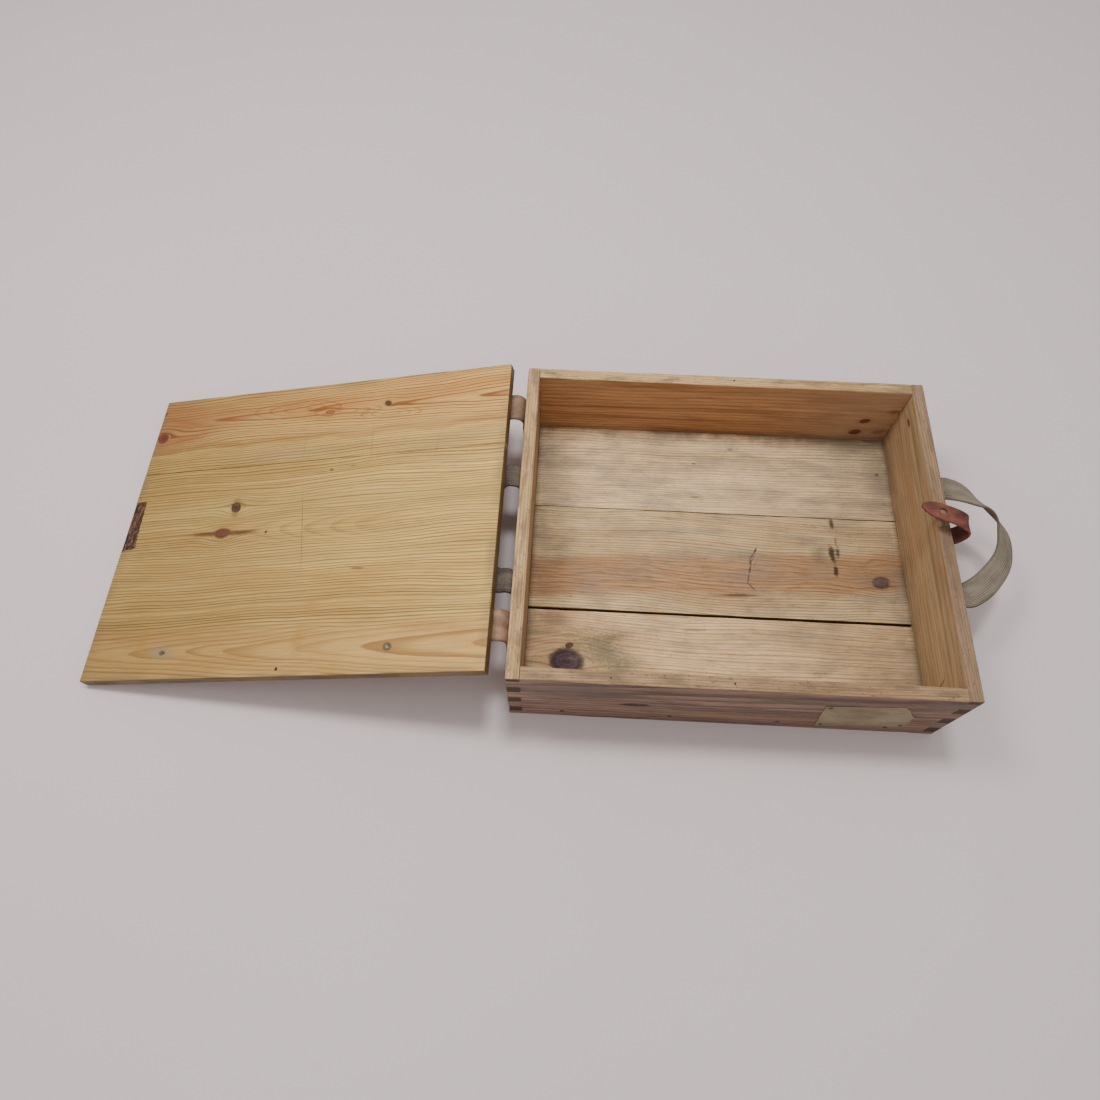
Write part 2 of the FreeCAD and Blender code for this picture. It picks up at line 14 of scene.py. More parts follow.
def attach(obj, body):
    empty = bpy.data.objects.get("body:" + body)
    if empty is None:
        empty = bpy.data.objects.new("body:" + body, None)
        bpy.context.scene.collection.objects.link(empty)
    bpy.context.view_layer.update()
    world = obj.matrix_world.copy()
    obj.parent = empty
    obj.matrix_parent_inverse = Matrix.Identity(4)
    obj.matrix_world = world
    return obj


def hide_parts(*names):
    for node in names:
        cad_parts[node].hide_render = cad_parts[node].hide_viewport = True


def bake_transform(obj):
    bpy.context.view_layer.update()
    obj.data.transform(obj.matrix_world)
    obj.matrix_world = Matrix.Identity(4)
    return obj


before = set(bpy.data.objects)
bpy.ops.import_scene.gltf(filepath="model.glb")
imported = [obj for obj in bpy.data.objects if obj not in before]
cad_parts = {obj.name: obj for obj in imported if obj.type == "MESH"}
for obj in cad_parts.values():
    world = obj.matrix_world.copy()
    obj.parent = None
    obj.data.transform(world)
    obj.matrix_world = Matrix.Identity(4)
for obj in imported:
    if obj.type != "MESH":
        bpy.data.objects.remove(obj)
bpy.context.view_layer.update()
MM = 0.001

# --- the camera ---
CAMERA_PLACE = Vector((-0.1562, -0.3727, 0.7607))
CAMERA_AIM = Vector((-0.1696, 0.0006, 0.0200))
CAMERA_ROLL = math.radians(0.857)
CAMERA_LENS = 26.55


def add_object(name, data):
    """A new object in the scene."""
    made = bpy.data.objects.new(name, data)
    bpy.context.scene.collection.objects.link(made)
    return made


def set_camera():
    """One camera that looks down over the open lid and into the case."""
    data = bpy.data.cameras.new("camera")
    data.lens = CAMERA_LENS
    data.sensor_width = 36.0
    data.clip_start = 0.05
    camera = add_object("camera", data)
    turn = (CAMERA_AIM - CAMERA_PLACE).to_track_quat("-Z", "Y").to_matrix().to_4x4()
    camera.matrix_world = Matrix.Translation(CAMERA_PLACE) @ turn @ Matrix.Rotation(CAMERA_ROLL, 4, "Z")
    bpy.context.scene.camera = camera


set_camera()

# --- where things are ---
LID_TILT = math.radians(13.341)
LID_EDGE = Vector((-217.5, 0.0, 105.0))
LID_OUTWARD = Vector((-math.cos(LID_TILT), 0.0, -math.sin(LID_TILT)))
LID_NORMAL = Vector((-math.sin(LID_TILT), 0.0, math.cos(LID_TILT)))
LID_THICKNESS = 12.0
LID_SEAM_Y = 72.0
LID_MARKS_Y = -3.0
HALF_X = 200.0
HALF_Y = 165.0
LEATHER = 3.0
HINGE_BEND = 8.0
HINGE_LID_REACH = 46.0
HINGE_LID_EDGE = 6.0
HINGE_FOOT = 46.0
HINGE_STRAP_WIDTH = 30.0
HINGE_STRAP_Y = {"back": 124.0, "front": -112.0}
WEBBING = 2.6
WEBBING_WIDTH = 25.0
WARP_PITCH = 1.9
WEFT_PITCH = 2.4
TAB_GAP = 0.1
HANDLE_PITCH = 114.0
HANDLE_SHIFT = {"left": -4.0, "right": 3.0}
HANDLE_LEG_START = 208.5
HANDLE_LEVEL = 76.0


# --- materials as sums ---
def tone(code):
    """A screen colour code, such as b48a5a, as linear light."""
    parts = [int(code[i : i + 2], 16) / 255 for i in (0, 2, 4)]
    return tuple(c / 12.92 if c <= 0.04045 else ((c + 0.055) / 1.055) ** 2.4 for c in parts) + (1.0,)


class Term:
    """A number that varies over a surface, built from math nodes."""

    def __init__(self, look, socket):
        self.look = look
        self.socket = socket

    def math(self, operation, *others):
        node = self.look.add("ShaderNodeMath")
        node.operation = operation
        for i, value in enumerate((self,) + others):
            self.look.put(node.inputs[i], value)
        return Term(self.look, node.outputs[0])

    def __add__(self, other):
        return self.math("ADD", other)

    __radd__ = __add__

    def __mul__(self, other):
        return self.math("MULTIPLY", other)

    __rmul__ = __mul__

    def __sub__(self, other):
        return self.math("SUBTRACT", other)

    def __rsub__(self, other):
        return (self * -1.0) + other

    def power(self, other):
        return self.math("POWER", other)

    def root(self):
        return self.math("SQRT")

    def fraction(self):
        return self.math("FRACT")

    def size(self):
        return self.math("ABSOLUTE")

    def falloff(self):
        """exp(-self)"""
        return (self * -1.0).math("EXPONENT")

    def at_most(self, other):
        return self.math("MINIMUM", other)

    def at_least(self, other):
        return self.math("MAXIMUM", other)

    def rise(self, low, high):
        """0 below low, 1 above high, smooth between."""
        node = self.look.add("ShaderNodeMapRange")
        node.interpolation_type = "SMOOTHSTEP"
        self.look.put(node.inputs["Value"], self)
        node.inputs["From Min"].default_value = low
        node.inputs["From Max"].default_value = high
        return Term(self.look, node.outputs[0])

    def fall(self, low, high):
        """1 below low, 0 above high, smooth between."""
        return 1.0 - self.rise(low, high)


class Look:
    """A node material whose colour and roughness are written as terms. Lengths in it are millimetres."""

    def __init__(self, name):
        self.material = bpy.data.materials.new(name)
        self.material.use_nodes = True
        self.tree = self.material.node_tree
        self.tree.nodes.clear()
        self.shader = self.add("ShaderNodeBsdfPrincipled")
        output = self.add("ShaderNodeOutputMaterial")
        self.tree.links.new(self.shader.outputs[0], output.inputs[0])
        coords = self.add("ShaderNodeTexCoord")
        self.point = coords.outputs["Object"]
        self.normal = coords.outputs["Normal"]

    def add(self, kind):
        return self.tree.nodes.new(kind)

    def put(self, socket, value):
        if isinstance(value, Term):
            self.tree.links.new(value.socket, socket)
        elif isinstance(value, bpy.types.NodeSocket):
            self.tree.links.new(value, socket)
        else:
            socket.default_value = value

    def dot(self, vector, fixed):
        """The dot product of a vector that varies over the surface and a fixed one."""
        node = self.add("ShaderNodeVectorMath")
        node.operation = "DOT_PRODUCT"
        self.put(node.inputs[0], vector)
        node.inputs[1].default_value = fixed
        return Term(self, node.outputs["Value"])

    def along(self, direction, start=Vector((0, 0, 0))):
        """How far the surface point lies along a direction from a start, in millimetres."""
        return self.dot(self.point, Vector(direction) * 1000.0) + -Vector(direction).dot(start)

    def facing(self, direction):
        """How squarely the surface faces a direction, from -1 to 1."""
        return self.dot(self.normal, Vector(direction))

    def noise(self, x, y, z, detail=2.0, rough=0.5):
        """Smooth noise from 0 to 1, which varies over about one unit of x, y and z."""
        joined = self.add("ShaderNodeCombineXYZ")
        for socket, value in zip(joined.inputs, (x, y, z)):
            self.put(socket, value)
        node = self.add("ShaderNodeTexNoise")
        self.put(node.inputs["Vector"], joined.outputs[0])
        node.inputs["Scale"].default_value = 1.0
        node.inputs["Detail"].default_value = detail
        node.inputs["Roughness"].default_value = rough
        return Term(self, node.outputs[0])

    def blend(self, factor, first, second):
        """A colour between two colours."""
        node = self.add("ShaderNodeMix")
        node.data_type = "RGBA"
        self.put(node.inputs[0], factor)
        for socket, value in ((node.inputs[6], first), (node.inputs[7], second)):
            self.put(socket, tone(value) if isinstance(value, str) else value)
        return node.outputs[2]

    def scale(self, colour, factor):
        """A colour made lighter or darker."""
        node = self.add("ShaderNodeVectorMath")
        node.operation = "SCALE"
        self.put(node.inputs[0], tone(colour)[:3] if isinstance(colour, str) else colour)
        self.put(node.inputs["Scale"], factor)
        return node.outputs[0]

    def darken(self, colour, where, factor):
        """A colour scaled by a factor, as far as a term says."""
        return self.blend(where, colour, self.scale(colour, factor))

    def spot(self, u, v, place, radii, turn=0.0, soft=0.3, ragged=0.0):
        """1 inside an ellipse and 0 outside it."""
        return self.reach(u, v, place, radii, turn, ragged).fall(1.0 - soft, 1.0 + soft)

    def reach(self, u, v, place, radii, turn=0.0, ragged=0.0):
        """Distance from an ellipse's middle, 1 on its edge."""
        c, s = math.cos(math.radians(turn)), math.sin(math.radians(turn))
        a = u * c + v * s - (place[0] * c + place[1] * s)
        b = v * c - u * s - (place[1] * c - place[0] * s)
        a = a * (1.0 / radii[0])
        b = b * (1.0 / radii[1])
        distance = (a * a + b * b).root()
        if ragged:
            torn = self.noise(u * 0.3, v * 0.45, place[0] * 0.37, 3.0, 0.65) - 0.5
            distance = distance + torn * (2.6 * ragged)
        return distance

    def stroke(self, u, v, start, end, width, soft=0.5):
        """1 on a thin straight mark between two points."""
        run = math.dist(start, end)
        middle = ((start[0] + end[0]) / 2, (start[1] + end[1]) / 2)
        turn = math.degrees(math.atan2(end[1] - start[1], end[0] - start[0]))
        return self.spot(u, v, middle, (run / 2, width / 2), turn, soft)

    def finish(self, colour, roughness, bump=None, bump_depth=0.2, specular=0.35):
        """Join the terms to the shader."""
        self.put(self.shader.inputs["Base Color"], tone(colour) if isinstance(colour, str) else colour)
        self.put(self.shader.inputs["Roughness"], roughness)
        self.shader.inputs["Specular IOR Level"].default_value = specular
        if bump is not None:
            node = self.add("ShaderNodeBump")
            node.inputs["Strength"].default_value = 1.0
            node.inputs["Distance"].default_value = bump_depth * MM
            self.put(node.inputs["Height"], bump)
            self.tree.links.new(node.outputs[0], self.shader.inputs["Normal"])
        return self.material


# --- pine ---
class Pine:
    """Pine whose growth rings run along u, across v and through w, bent round its knots."""

    def __init__(self, look, u, v, w, seed, pitch, pith, wander, taper, sharp=0.3, knots=()):
        """Rings pitch apart round a pith that wander sideways and taper along u; sharp narrows late wood."""
        self.look = look
        self.u, self.v, self.w = u, v, w
        self.seed = seed
        self.knots = knots
        bent = v
        for place, radius in [(knot[0], knot[1]) for knot in knots]:
            across = bent - place[1]
            near = ((u - place[0]) * (1 / (3.4 * radius))).power(2.0)
            near = near + (across * (1 / (2.4 * radius))).power(2.0)
            bent = bent - across * near.falloff() * 0.9
        slow = look.noise(u * 0.0055, v * 0.012, seed, 1.0) - 0.5
        quick = look.noise(u * 0.022, v * 0.05, seed + 7.0, 2.0) - 0.5
        a = bent - pith[0] + slow * wander + quick * (wander * 0.12)
        b = w - pith[1]
        ring = (a * a + b * b).root() + u * taper
        self.phase = ring * (1.0 / pitch) + look.noise(ring * 0.09, seed, 3.0, 2.0) * 2.6
        season = self.phase.fraction()
        self.late = season.rise(sharp, 0.93) * season.fall(0.95, 1.0)
        self.year = look.noise(self.phase.math("FLOOR") * 0.73, seed, 1.0, 0.0)
        self.fibre = look.noise(u * 0.03, v * 0.9, w * 0.9 + seed, 4.0, 0.7)
        self.pores = look.noise(u * 0.12, v * 2.4, w * 2.4 + seed, 2.0, 0.7)
        self.cloud = look.noise(u * 0.006, v * 0.03, w * 0.03 + seed, 3.0, 0.55)
        self.grime = look.noise(u * 0.02, v * 0.03, w * 0.03 + seed * 2.0, 4.0, 0.6)

    def colour(self, early, late, warm, depth=1.0):
        """The clean wood's colour, from its early wood, late wood and a warmer cast."""
        look = self.look
        base = look.blend(self.cloud.rise(0.38, 0.68), early, warm)
        line = self.late * (self.year * 1.3 + 0.2) * depth
        base = look.blend(line.at_most(1.0), base, late)
        base = look.scale(base, self.fibre * 0.95 + 0.54)
        return look.scale(base, self.pores * 0.5 + 0.76)

    def knotted(self, colour):
        """The wood's colour with each knot's halo, dark ring and heart laid on."""
        look = self.look
        for place, radius, stretch, turn, heart, ring in self.knots:
            reach = look.reach(self.u, self.v, place, (radius * stretch, radius), turn, 0.16)
            colour = look.darken(colour, reach.fall(0.9, 2.8) * 0.4, 0.62)
            rings = (reach * 3.2 + self.fibre * 1.4).fraction() * 0.7 + 0.5
            core = look.scale(heart, rings)
            core = look.blend(reach.fall(0.1, 0.55) * 0.7, core, ring)
            colour = look.blend(reach.fall(0.8, 1.05), colour, core)
            edge = reach.rise(0.6, 0.92) * reach.fall(1.0, 1.3) * (self.grime.rise(0.3, 0.55) * 0.7 + 0.3)
            colour = look.blend(edge * 0.85, colour, ring)
        return colour

    def bump(self):
        """Late wood stands proud of early wood, with fibres between."""
        return self.late * 0.4 + self.fibre * 0.6 + self.pores * 0.3


def marks(look, u, v, colour, items):
    """Spots laid onto a colour: place, radii, turn, softness, raggedness, strength, colour."""
    for place, radii, turn, soft, ragged, strength, paint in items:
        colour = look.blend(look.spot(u, v, place, radii, turn, soft, ragged) * strength, colour, paint)
    return colour


def strokes(look, u, v, colour, items):
    """Thin straight marks laid onto a colour: start, end, width, strength, colour."""
    for start, end, width, strength, paint in items:
        colour = look.blend(look.stroke(u, v, start, end, width) * strength, colour, paint)
    return colour


# --- the lid's wood ---
# Each knot: place, radius, stretch along the grain, turn, heart colour, ring colour.
LID_KNOTS = [
    ((396, 122), 6.0, 1.1, 20, "7a3428", "45201a"),
    ((281, 25), 4.6, 1.25, 62, "5c3a28", "24140e"),
    ((289, -4), 5.4, 1.5, 0, "74382a", "34160f"),
    ((131, 138), 3.0, 1.3, 40, "6b4028", "3f2418"),
    ((196, 134), 2.4, 1.9, 0, "b06c3c", "7d4a2a"),
]
# Each mark: place, radii, turn, softness, raggedness, strength, colour.
LID_MARKS = [
    ((292, -4), (34, 1.8), 0, 0.8, 0.3, 0.8, "6c3e20"),
    ((268, -5), (14, 2.4), -2, 0.8, 0.5, 0.85, "55301a"),
    ((309, -4), (13, 2.6), 2, 0.8, 0.5, 0.75, "55301a"),
    ((281, 31), (5, 3.4), 60, 0.8, 0.5, 0.5, "6a4a2c"),
    ((281, 18), (5, 3.0), 60, 0.8, 0.5, 0.45, "6a4a2c"),
    ((240, -6), (1.6, 1.6), 0, 0.4, 0.0, 0.9, "3a2416"),
    ((181, 61), (2.2, 1.3), 0, 0.5, 0.2, 0.85, "5a4630"),
    ((158, 64), (3.0, 1.2), 0, 0.5, 0.2, 0.5, "6a5236"),
    ((134, -52), (7.0, 1.3), 2, 0.5, 0.3, 0.7, "6a5032"),
    ((174, -88), (7, 9), 0, 0.7, 0.5, 0.4, "b5803a"),
    ((181, -122), (6, 14), 0, 0.7, 0.5, 0.4, "ad7a38"),
    ((346, -117), (5, 13), 0, 0.7, 0.5, 0.45, "a8762f"),
    ((321, -130), (13, 6), 10, 0.8, 0.4, 0.5, "8a8468"),
    ((321, -130), (3.2, 2.6), 0, 0.4, 0.2, 0.9, "4e4a40"),
    ((92, -131), (4.2, 4.0), 0, 0.3, 0.2, 0.85, "4a4438"),
    ((92, -131), (1.9, 1.8), 0, 0.4, 0.0, 0.8, "a09078"),
    ((197, -149), (1.4, 1.8), 0, 0.3, 0.0, 1.0, "201810"),
    ((403, 155), (3.0, 2.0), 0, 0.4, 0.3, 0.8, "3c2218"),
    ((330, 140), (44, 12), 4, 0.9, 0.6, 0.35, "9c5f3c"),
    ((365, 118), (30, 4), -8, 0.8, 0.6, 0.5, "8a4630"),
    ((370, 140), (30, 3), 14, 0.8, 0.6, 0.4, "8a4630"),
    ((300, -60), (90, 40), 0, 0.9, 0.5, 0.22, "9c7c4c"),
    ((236, 86), (60, 9), 2, 0.9, 0.5, 0.30, "9a8a66"),
    ((60, 84), (52, 10), -3, 0.9, 0.5, 0.35, "a08458"),
]
# Each stroke: start, end, width, strength, colour.
LID_STROKES = [
    ((309, 51), (161, 56), 2.4, 0.30, "e0c080"),
    ((161, 56), (4, 62), 2.4, 0.30, "e0c080"),
    ((209, 41), (192, -52), 0.8, 0.65, "7c6038"),
    ((210, 44), (193, -49), 0.5, 0.3, "6f5530"),
    ((218, 109), (217, 79), 1.2, 0.35, "7f6744"),
    ((143, 109), (140, 68), 1.2, 0.35, "7f6744"),
    ((69, 93), (71, 65), 1.2, 0.35, "86694a"),
]


def lid_terms(look):
    """Along the lid from its hinge edge, across it, and up out of its inner face."""
    u = look.along(LID_OUTWARD, LID_EDGE)
    v = look.along((0, 1, 0)) - LID_MARKS_Y
    w = look.along(LID_NORMAL, LID_EDGE)
    return u, v, w


def lid_look(name, seed, knots):
    """A lid board: clean straight-grained pine, with a strip of redder heartwood along the back."""
    look = Look(name)
    u, v, w = lid_terms(look)
    pine = Pine(look, u, v, w, seed, 3.0, (-250.0, -80.0), 18.0, 0.006, sharp=0.4, knots=knots)
    colour = pine.colour("cda95f", "7c582a", "be9750", 1.05)
    # A narrow flat-sawn strip opens between the knots and the hinge edge.
    flat = Pine(look, u, v, w, seed + 2.0, 3.2, (-4.0, -20.0), 9.0, 0.1, sharp=0.4, knots=knots)
    opened = look.spot(u, v, (196, -4), (105, 17), 0, 0.8, 0.3)
    colour = look.blend(opened * 0.42, colour, flat.colour("c9a65c", "8a6030", "b98f4c", 0.9))
    # Bands a few years wide run the whole length, some pale and some deeper.
    bands = look.noise(u * 0.0015, v * 0.06, seed + 4.0, 3.0, 0.6)
    colour = look.scale(colour, bands * 0.7 + 0.66)
    # The front margin is flat sawn, with long open flames.
    flames = Pine(look, u, v, w, seed + 3.0, 3.4, (-130.0, -14.0), 16.0, 0.05, sharp=0.45)
    margin = (v + (look.noise(u * 0.01, 4.0, 1.0, 2.0) - 0.5) * 20.0).fall(-112.0, -104.0)
    colour = look.blend(margin * 0.9, colour, flames.colour("c49d5a", "8f6432", "b78b4c", 0.8))
    # The back strip is heartwood: redder, with flame loops and a wavy border.
    border = v + (look.noise(u * 0.011, 2.0, 5.0, 2.0) - 0.5) * 26.0
    heart = border.rise(103.0, 112.0)
    loops = Pine(look, u, v, w, 2.6, 3.0, (137.0, -9.0), 24.0, 0.03, sharp=0.55, knots=knots)
    red = loops.colour("cda45e", "86491c", "bf8a4a", 1.6)
    colour = look.blend(heart * 0.92, colour, red)
    edge_line = border.rise(99.0, 103.0) * border.fall(104.0, 112.0)
    colour = look.blend(edge_line * 0.4, colour, "8a4a26")
    # Long flame loops lie along the heartwood.
    for place, radii in (((236, 142), (46, 10)), ((176, 134), (34, 7)), ((126, 125), (30, 6))):
        loop = look.reach(u, v, place, radii, 2.0, 0.06)
        line = (loop * 2.6).fraction()
        line = line.rise(0.55, 0.92) * line.fall(0.94, 1.0) * loop.fall(1.1, 1.5)
        colour = look.blend(line * heart * 0.5, colour, "8c4c22")
    free_end = u.rise(300.0, 400.0) * heart
    colour = look.blend(free_end * 0.42, colour, "945228")
    # Painted light: the lid is made brighter towards its hinge edge and darker towards its free end.
    colour = look.scale(colour, u * -0.0012 + 1.26)
    colour = pine.knotted(colour)
    colour = marks(look, u, v, colour, LID_MARKS)
    colour = strokes(look, u, v, colour, LID_STROKES)
    # Handling dirt gathers towards the edges, most at the free edge and the hinge corner.
    rim = u.fall(2.0, 12.0).at_least(u.rise(390.0, 403.0)).at_least((v - 8.0).size().rise(154.0, 164.0))
    colour = look.blend(rim * pine.grime.rise(0.35, 0.65) * 0.5, colour, "7a684c")
    recess_edge = u + (look.noise(1.0, v * 0.16, 3.0, 3.0, 0.6) - 0.5) * 5.0 - (v - 12.0) * 0.07
    recess = recess_edge.rise(389.4, 390.8) * (v - 12.0 + (recess_edge - 397.0) * 0.2).size().fall(27.2, 28.8)
    torn = look.noise(u * 0.55, v * 0.14, w * 0.5, 5.0, 0.72)
    torn_wood = look.blend(torn.rise(0.44, 0.60), "2a1a12", "7a5038")
    colour = look.blend(recess * (torn.rise(0.2, 0.34) * 0.25 + 0.75), colour, torn_wood)
    # Edges and the outer face are greyer.
    side = look.facing(LID_NORMAL).size().fall(0.6, 0.9) * (v - 75.0).size().rise(1.4, 2.4)
    colour = look.blend(side * 0.85, colour, look.blend(pine.grime.rise(0.35, 0.65), "453628", "7a6144"))
    outer = look.facing(LID_NORMAL).fall(-0.7, -0.3)
    colour = look.blend(outer * 0.55, colour, look.blend(pine.grime.rise(0.3, 0.7), "6f5d48", "9a7f60"))
    return look.finish(colour, 0.68 - pine.late * 0.12, pine.bump() + recess * (torn * 3.0 - 2.5), 0.3)


# --- the case's wood ---
def board_look(
    name, seed, length_axis, outward, knots, outside, inside, top,
    inner_marks=(), outer_marks=(), far_end_light=0.0, pith=(180.0, -90.0),
):
    """A side board: weathered outside, cleaner inside, with a rubbed rim."""
    look = Look(name)
    u = look.along(length_axis)
    v = look.along((0, 0, 1))
    w = look.along(outward)
    pine = Pine(look, u, v, w, seed, 2.3, pith, 14.0, 0.01, sharp=0.45, knots=knots)
    outer_face = look.facing(outward).rise(0.3, 0.7)
    top_face = look.facing((0, 0, 1)).rise(0.25, 0.6)
    end_face = look.facing(length_axis).size().rise(0.6, 0.8)
    inner = pine.colour(*inside, 0.55)
    # Painted light: towards the end where u is highest the inner face can be made paler and greyer, where the
    # lamp from the left falls on it.
    inner = look.blend(u.rise(10.0, 180.0) * far_end_light, inner, look.scale("c4a68a", pine.fibre * 0.5 + 0.75))
    inner = pine.knotted(inner)
    inner = marks(look, u, v, inner, inner_marks)
    inner = look.scale(inner, look.noise(u * 0.004, v * 0.10, seed + 41.0, 3.0, 0.6) * 0.6 + 0.70)
    rubbed = look.noise(u * 0.012, v * 0.10, seed + 43.0, 5.0, 0.65)
    inner = look.darken(inner, rubbed.rise(0.46, 0.62) * 0.4, 0.58)
    inner = look.blend(rubbed.fall(0.34, 0.44) * 0.3, inner, "b8a27c")
    # Painted shade mixed with grime: the inner face darkens towards the floor corner.
    low = v.fall(22.0, 48.0) * pine.grime.rise(0.3, 0.6)
    inner = look.darken(inner, low * 0.5, 0.55)
    outer = pine.knotted(pine.colour(*outside, 0.9))
    streak = look.noise(u * 0.012, v * 0.16, seed + 3.0, 4.0, 0.6)
    outer = look.blend(streak.rise(0.42, 0.68) * 0.65, outer, "4e4240")
    worn = look.noise(u * 0.05, v * 0.35, seed + 23.0, 4.0, 0.7)
    outer = look.blend(worn.rise(0.55, 0.66) * 0.5, outer, "3a2e2a")
    outer = look.blend(worn.fall(0.36, 0.44) * 0.3, outer, "a08a74")
    moss = look.noise(u * 0.015, v * 0.05, seed + 11.0, 4.0, 0.65)
    outer = look.blend(moss.rise(0.48, 0.66) * v.rise(45.0, 95.0) * 0.6, outer, "6b6453")
    plum = look.noise(u * 0.010, v * 0.06, seed + 17.0, 3.0, 0.6)
    outer = look.blend(plum.rise(0.5, 0.7) * 0.5, outer, "5c4038")
    # The end where u is lowest is paler.
    outer = look.scale(outer, 1.2 - u.rise(-200.0, -130.0) * 0.2)
    outer = marks(look, u, v, outer, outer_marks)
    rim = Pine(look, u, w, v, seed + 31.0, 2.4, (10.0, 40.0), 8.0, 0.01)
    rim_colour = rim.colour(*top, 0.75)
    wear = look.noise(u * 0.03, w * 0.12, seed + 5.0, 4.0, 0.6)
    rim_colour = look.blend(wear.rise(0.44, 0.64) * 0.6, rim_colour, "6c5946")
    scuffed = look.noise(u * 0.25, w * 0.4, seed + 9.0, 3.0, 0.7)
    rim_colour = look.blend(scuffed.rise(0.58, 0.68) * 0.6, rim_colour, "57483a")
    colour = look.blend(outer_face, inner, outer)
    colour = look.blend(top_face, colour, rim_colour)
    arcs = look.blend(pine.late, "4c3528", "20130e")
    colour = look.blend(end_face * 0.95, colour, look.scale(arcs, pine.grime * 0.9 + 0.3))
    edge = v.rise(103.2, 104.6) * top_face.fall(0.2, 0.8)
    colour = look.blend(edge * 0.35, colour, "a58563")
    return look.finish(colour, 0.74 - pine.late * 0.08, pine.bump() + streak * 0.5, 0.3)


def floor_look(name, seed, wood, knots, items, cracks, depth=0.7, band=None, pith=(0.0, -50.0), pitch=2.7):
    """A floor board: bare, dusty pine, greyer and darker along the walls, with dust there and painted shade in
    the corners.
    """
    look = Look(name)
    u = look.along((1, 0, 0))
    v = look.along((0, 1, 0))
    w = look.along((0, 0, 1))
    pine = Pine(look, u, v, w, seed, pitch, pith, 20.0, 0.01, sharp=0.4, knots=knots)
    colour = pine.colour(*wood, depth)
    streaks = look.noise(u * 0.006, v * 0.16, seed + 51.0, 4.0, 0.6)
    colour = look.scale(colour, streaks * 0.7 + 0.66)
    if band:
        middle, half, paint = band
        wave = v - u * 0.055 + (look.noise(u * 0.013, 3.0, seed, 3.0) - 0.5) * 22.0
        red = (wave - middle).size().fall(half - 7.0, half + 6.0)
        lines = (v * 0.22 + look.noise(u * 0.012, v * 0.04, seed + 2.0, 2.0) * 5.0).fraction()
        deep = look.blend(lines.rise(0.4, 0.95) * lines.fall(0.96, 1.0) * 0.8, paint, "6e452c")
        colour = look.blend(red * 0.72, colour, look.scale(deep, pine.fibre * 0.8 + 0.62))
    colour = pine.knotted(colour)
    colour = marks(look, u, v, colour, items)
    colour = strokes(look, u, v, colour, cracks)
    dust = look.noise(u * 0.014, v * 0.045, seed + 13.0, 5.0, 0.66)
    colour = look.blend(dust.rise(0.46, 0.64) * 0.42, colour, "82796a")
    mottle = look.noise(u * 0.035, v * 0.05, seed + 81.0, 4.0, 0.7)
    colour = look.scale(colour, mottle * 0.5 + 0.75)
    scuffs = look.noise(u * 0.05, v * 0.16, seed + 61.0, 5.0, 0.68)
    colour = look.darken(colour, scuffs.rise(0.53, 0.66) * 0.45, 0.6)
    specks = look.noise(u * 0.3, v * 0.55, seed + 71.0, 2.0, 0.6)
    colour = look.blend(specks.rise(0.66, 0.72) * 0.5, colour, "54483a")
    # Painted shade: the floor darkens steadily towards its right end.
    colour = look.scale(colour, 1.0 - u.rise(-60.0, 190.0) * 0.24)
    # Painted shade mixed with dust: the floor turns greyer near the walls.
    walls = u.size().rise(160.0, 188.0).at_least(v.size().rise(128.0, 153.0))
    wall_dust_and_shade = walls * look.noise(u * 0.03, v * 0.03, seed + 21.0, 4.0, 0.65).rise(0.38, 0.62)
    colour = look.blend(wall_dust_and_shade * 0.6, colour, "6f675a")
    # Painted shade: a dark band in the last few millimetres where the floor meets the walls.
    corner = u.size().rise(182.0, 188.5).at_least(v.size().rise(148.0, 153.5))
    colour = look.blend(corner * 0.5, colour, "4c4034")
    side = look.facing((0, 0, 1)).fall(0.5, 0.8)
    colour = look.blend(side * 0.8, colour, "3b2c20")
    return look.finish(colour, 0.76, pine.bump(), 0.25)


def batten_look(name, seed, along, across, through):
    """A rough-sawn batten."""
    look = Look(name)
    u, v, w = look.along(along), look.along(across), look.along(through)
    pine = Pine(look, u, v, w, seed, 3.0, (6.0, -40.0), 10.0, 0.02)
    colour = pine.colour("a98a66", "7f6042", "9b7a58", 0.8)
    saw = look.noise(u * 0.6, v * 0.05, seed, 2.0)
    colour = look.scale(colour, saw * 0.3 + 0.82)
    colour = look.blend(pine.grime.rise(0.45, 0.7) * 0.6, colour, "5f5344")
    return look.finish(colour, 0.8, pine.bump() + saw, 0.25)


# --- leather, webbing, steel, paper ---
def leather_look(name, seed, pale, dark, along, across, middle, half_width):
    """Dry leather, darker at its cut edges, with fine cracks across it."""
    look = Look(name)
    u, v, w = look.along(along), look.along(across), look.along((0, 0, 1))
    cloud = look.noise(u * 0.05, v * 0.07, w * 0.05 + seed, 4.0, 0.6)
    grain = look.noise(u * 0.9, v * 0.9, w * 0.9 + seed, 3.0, 0.6)
    crack = look.noise(u * 0.5, v * 0.07, w * 0.5 + seed, 3.0, 0.7)
    colour = look.blend(cloud.rise(0.3, 0.7), pale, dark)
    colour = look.scale(colour, grain * 0.35 + 0.8)
    colour = look.darken(colour, crack.rise(0.55, 0.7) * 0.45, 0.55)
    edge = (v - middle).size().rise(half_width - 2.4, half_width - 0.6)
    colour = look.darken(colour, edge * 0.6, 0.5)
    return look.finish(colour, 0.62 + grain * 0.15, grain + crack * 1.4, 0.25, 0.4)


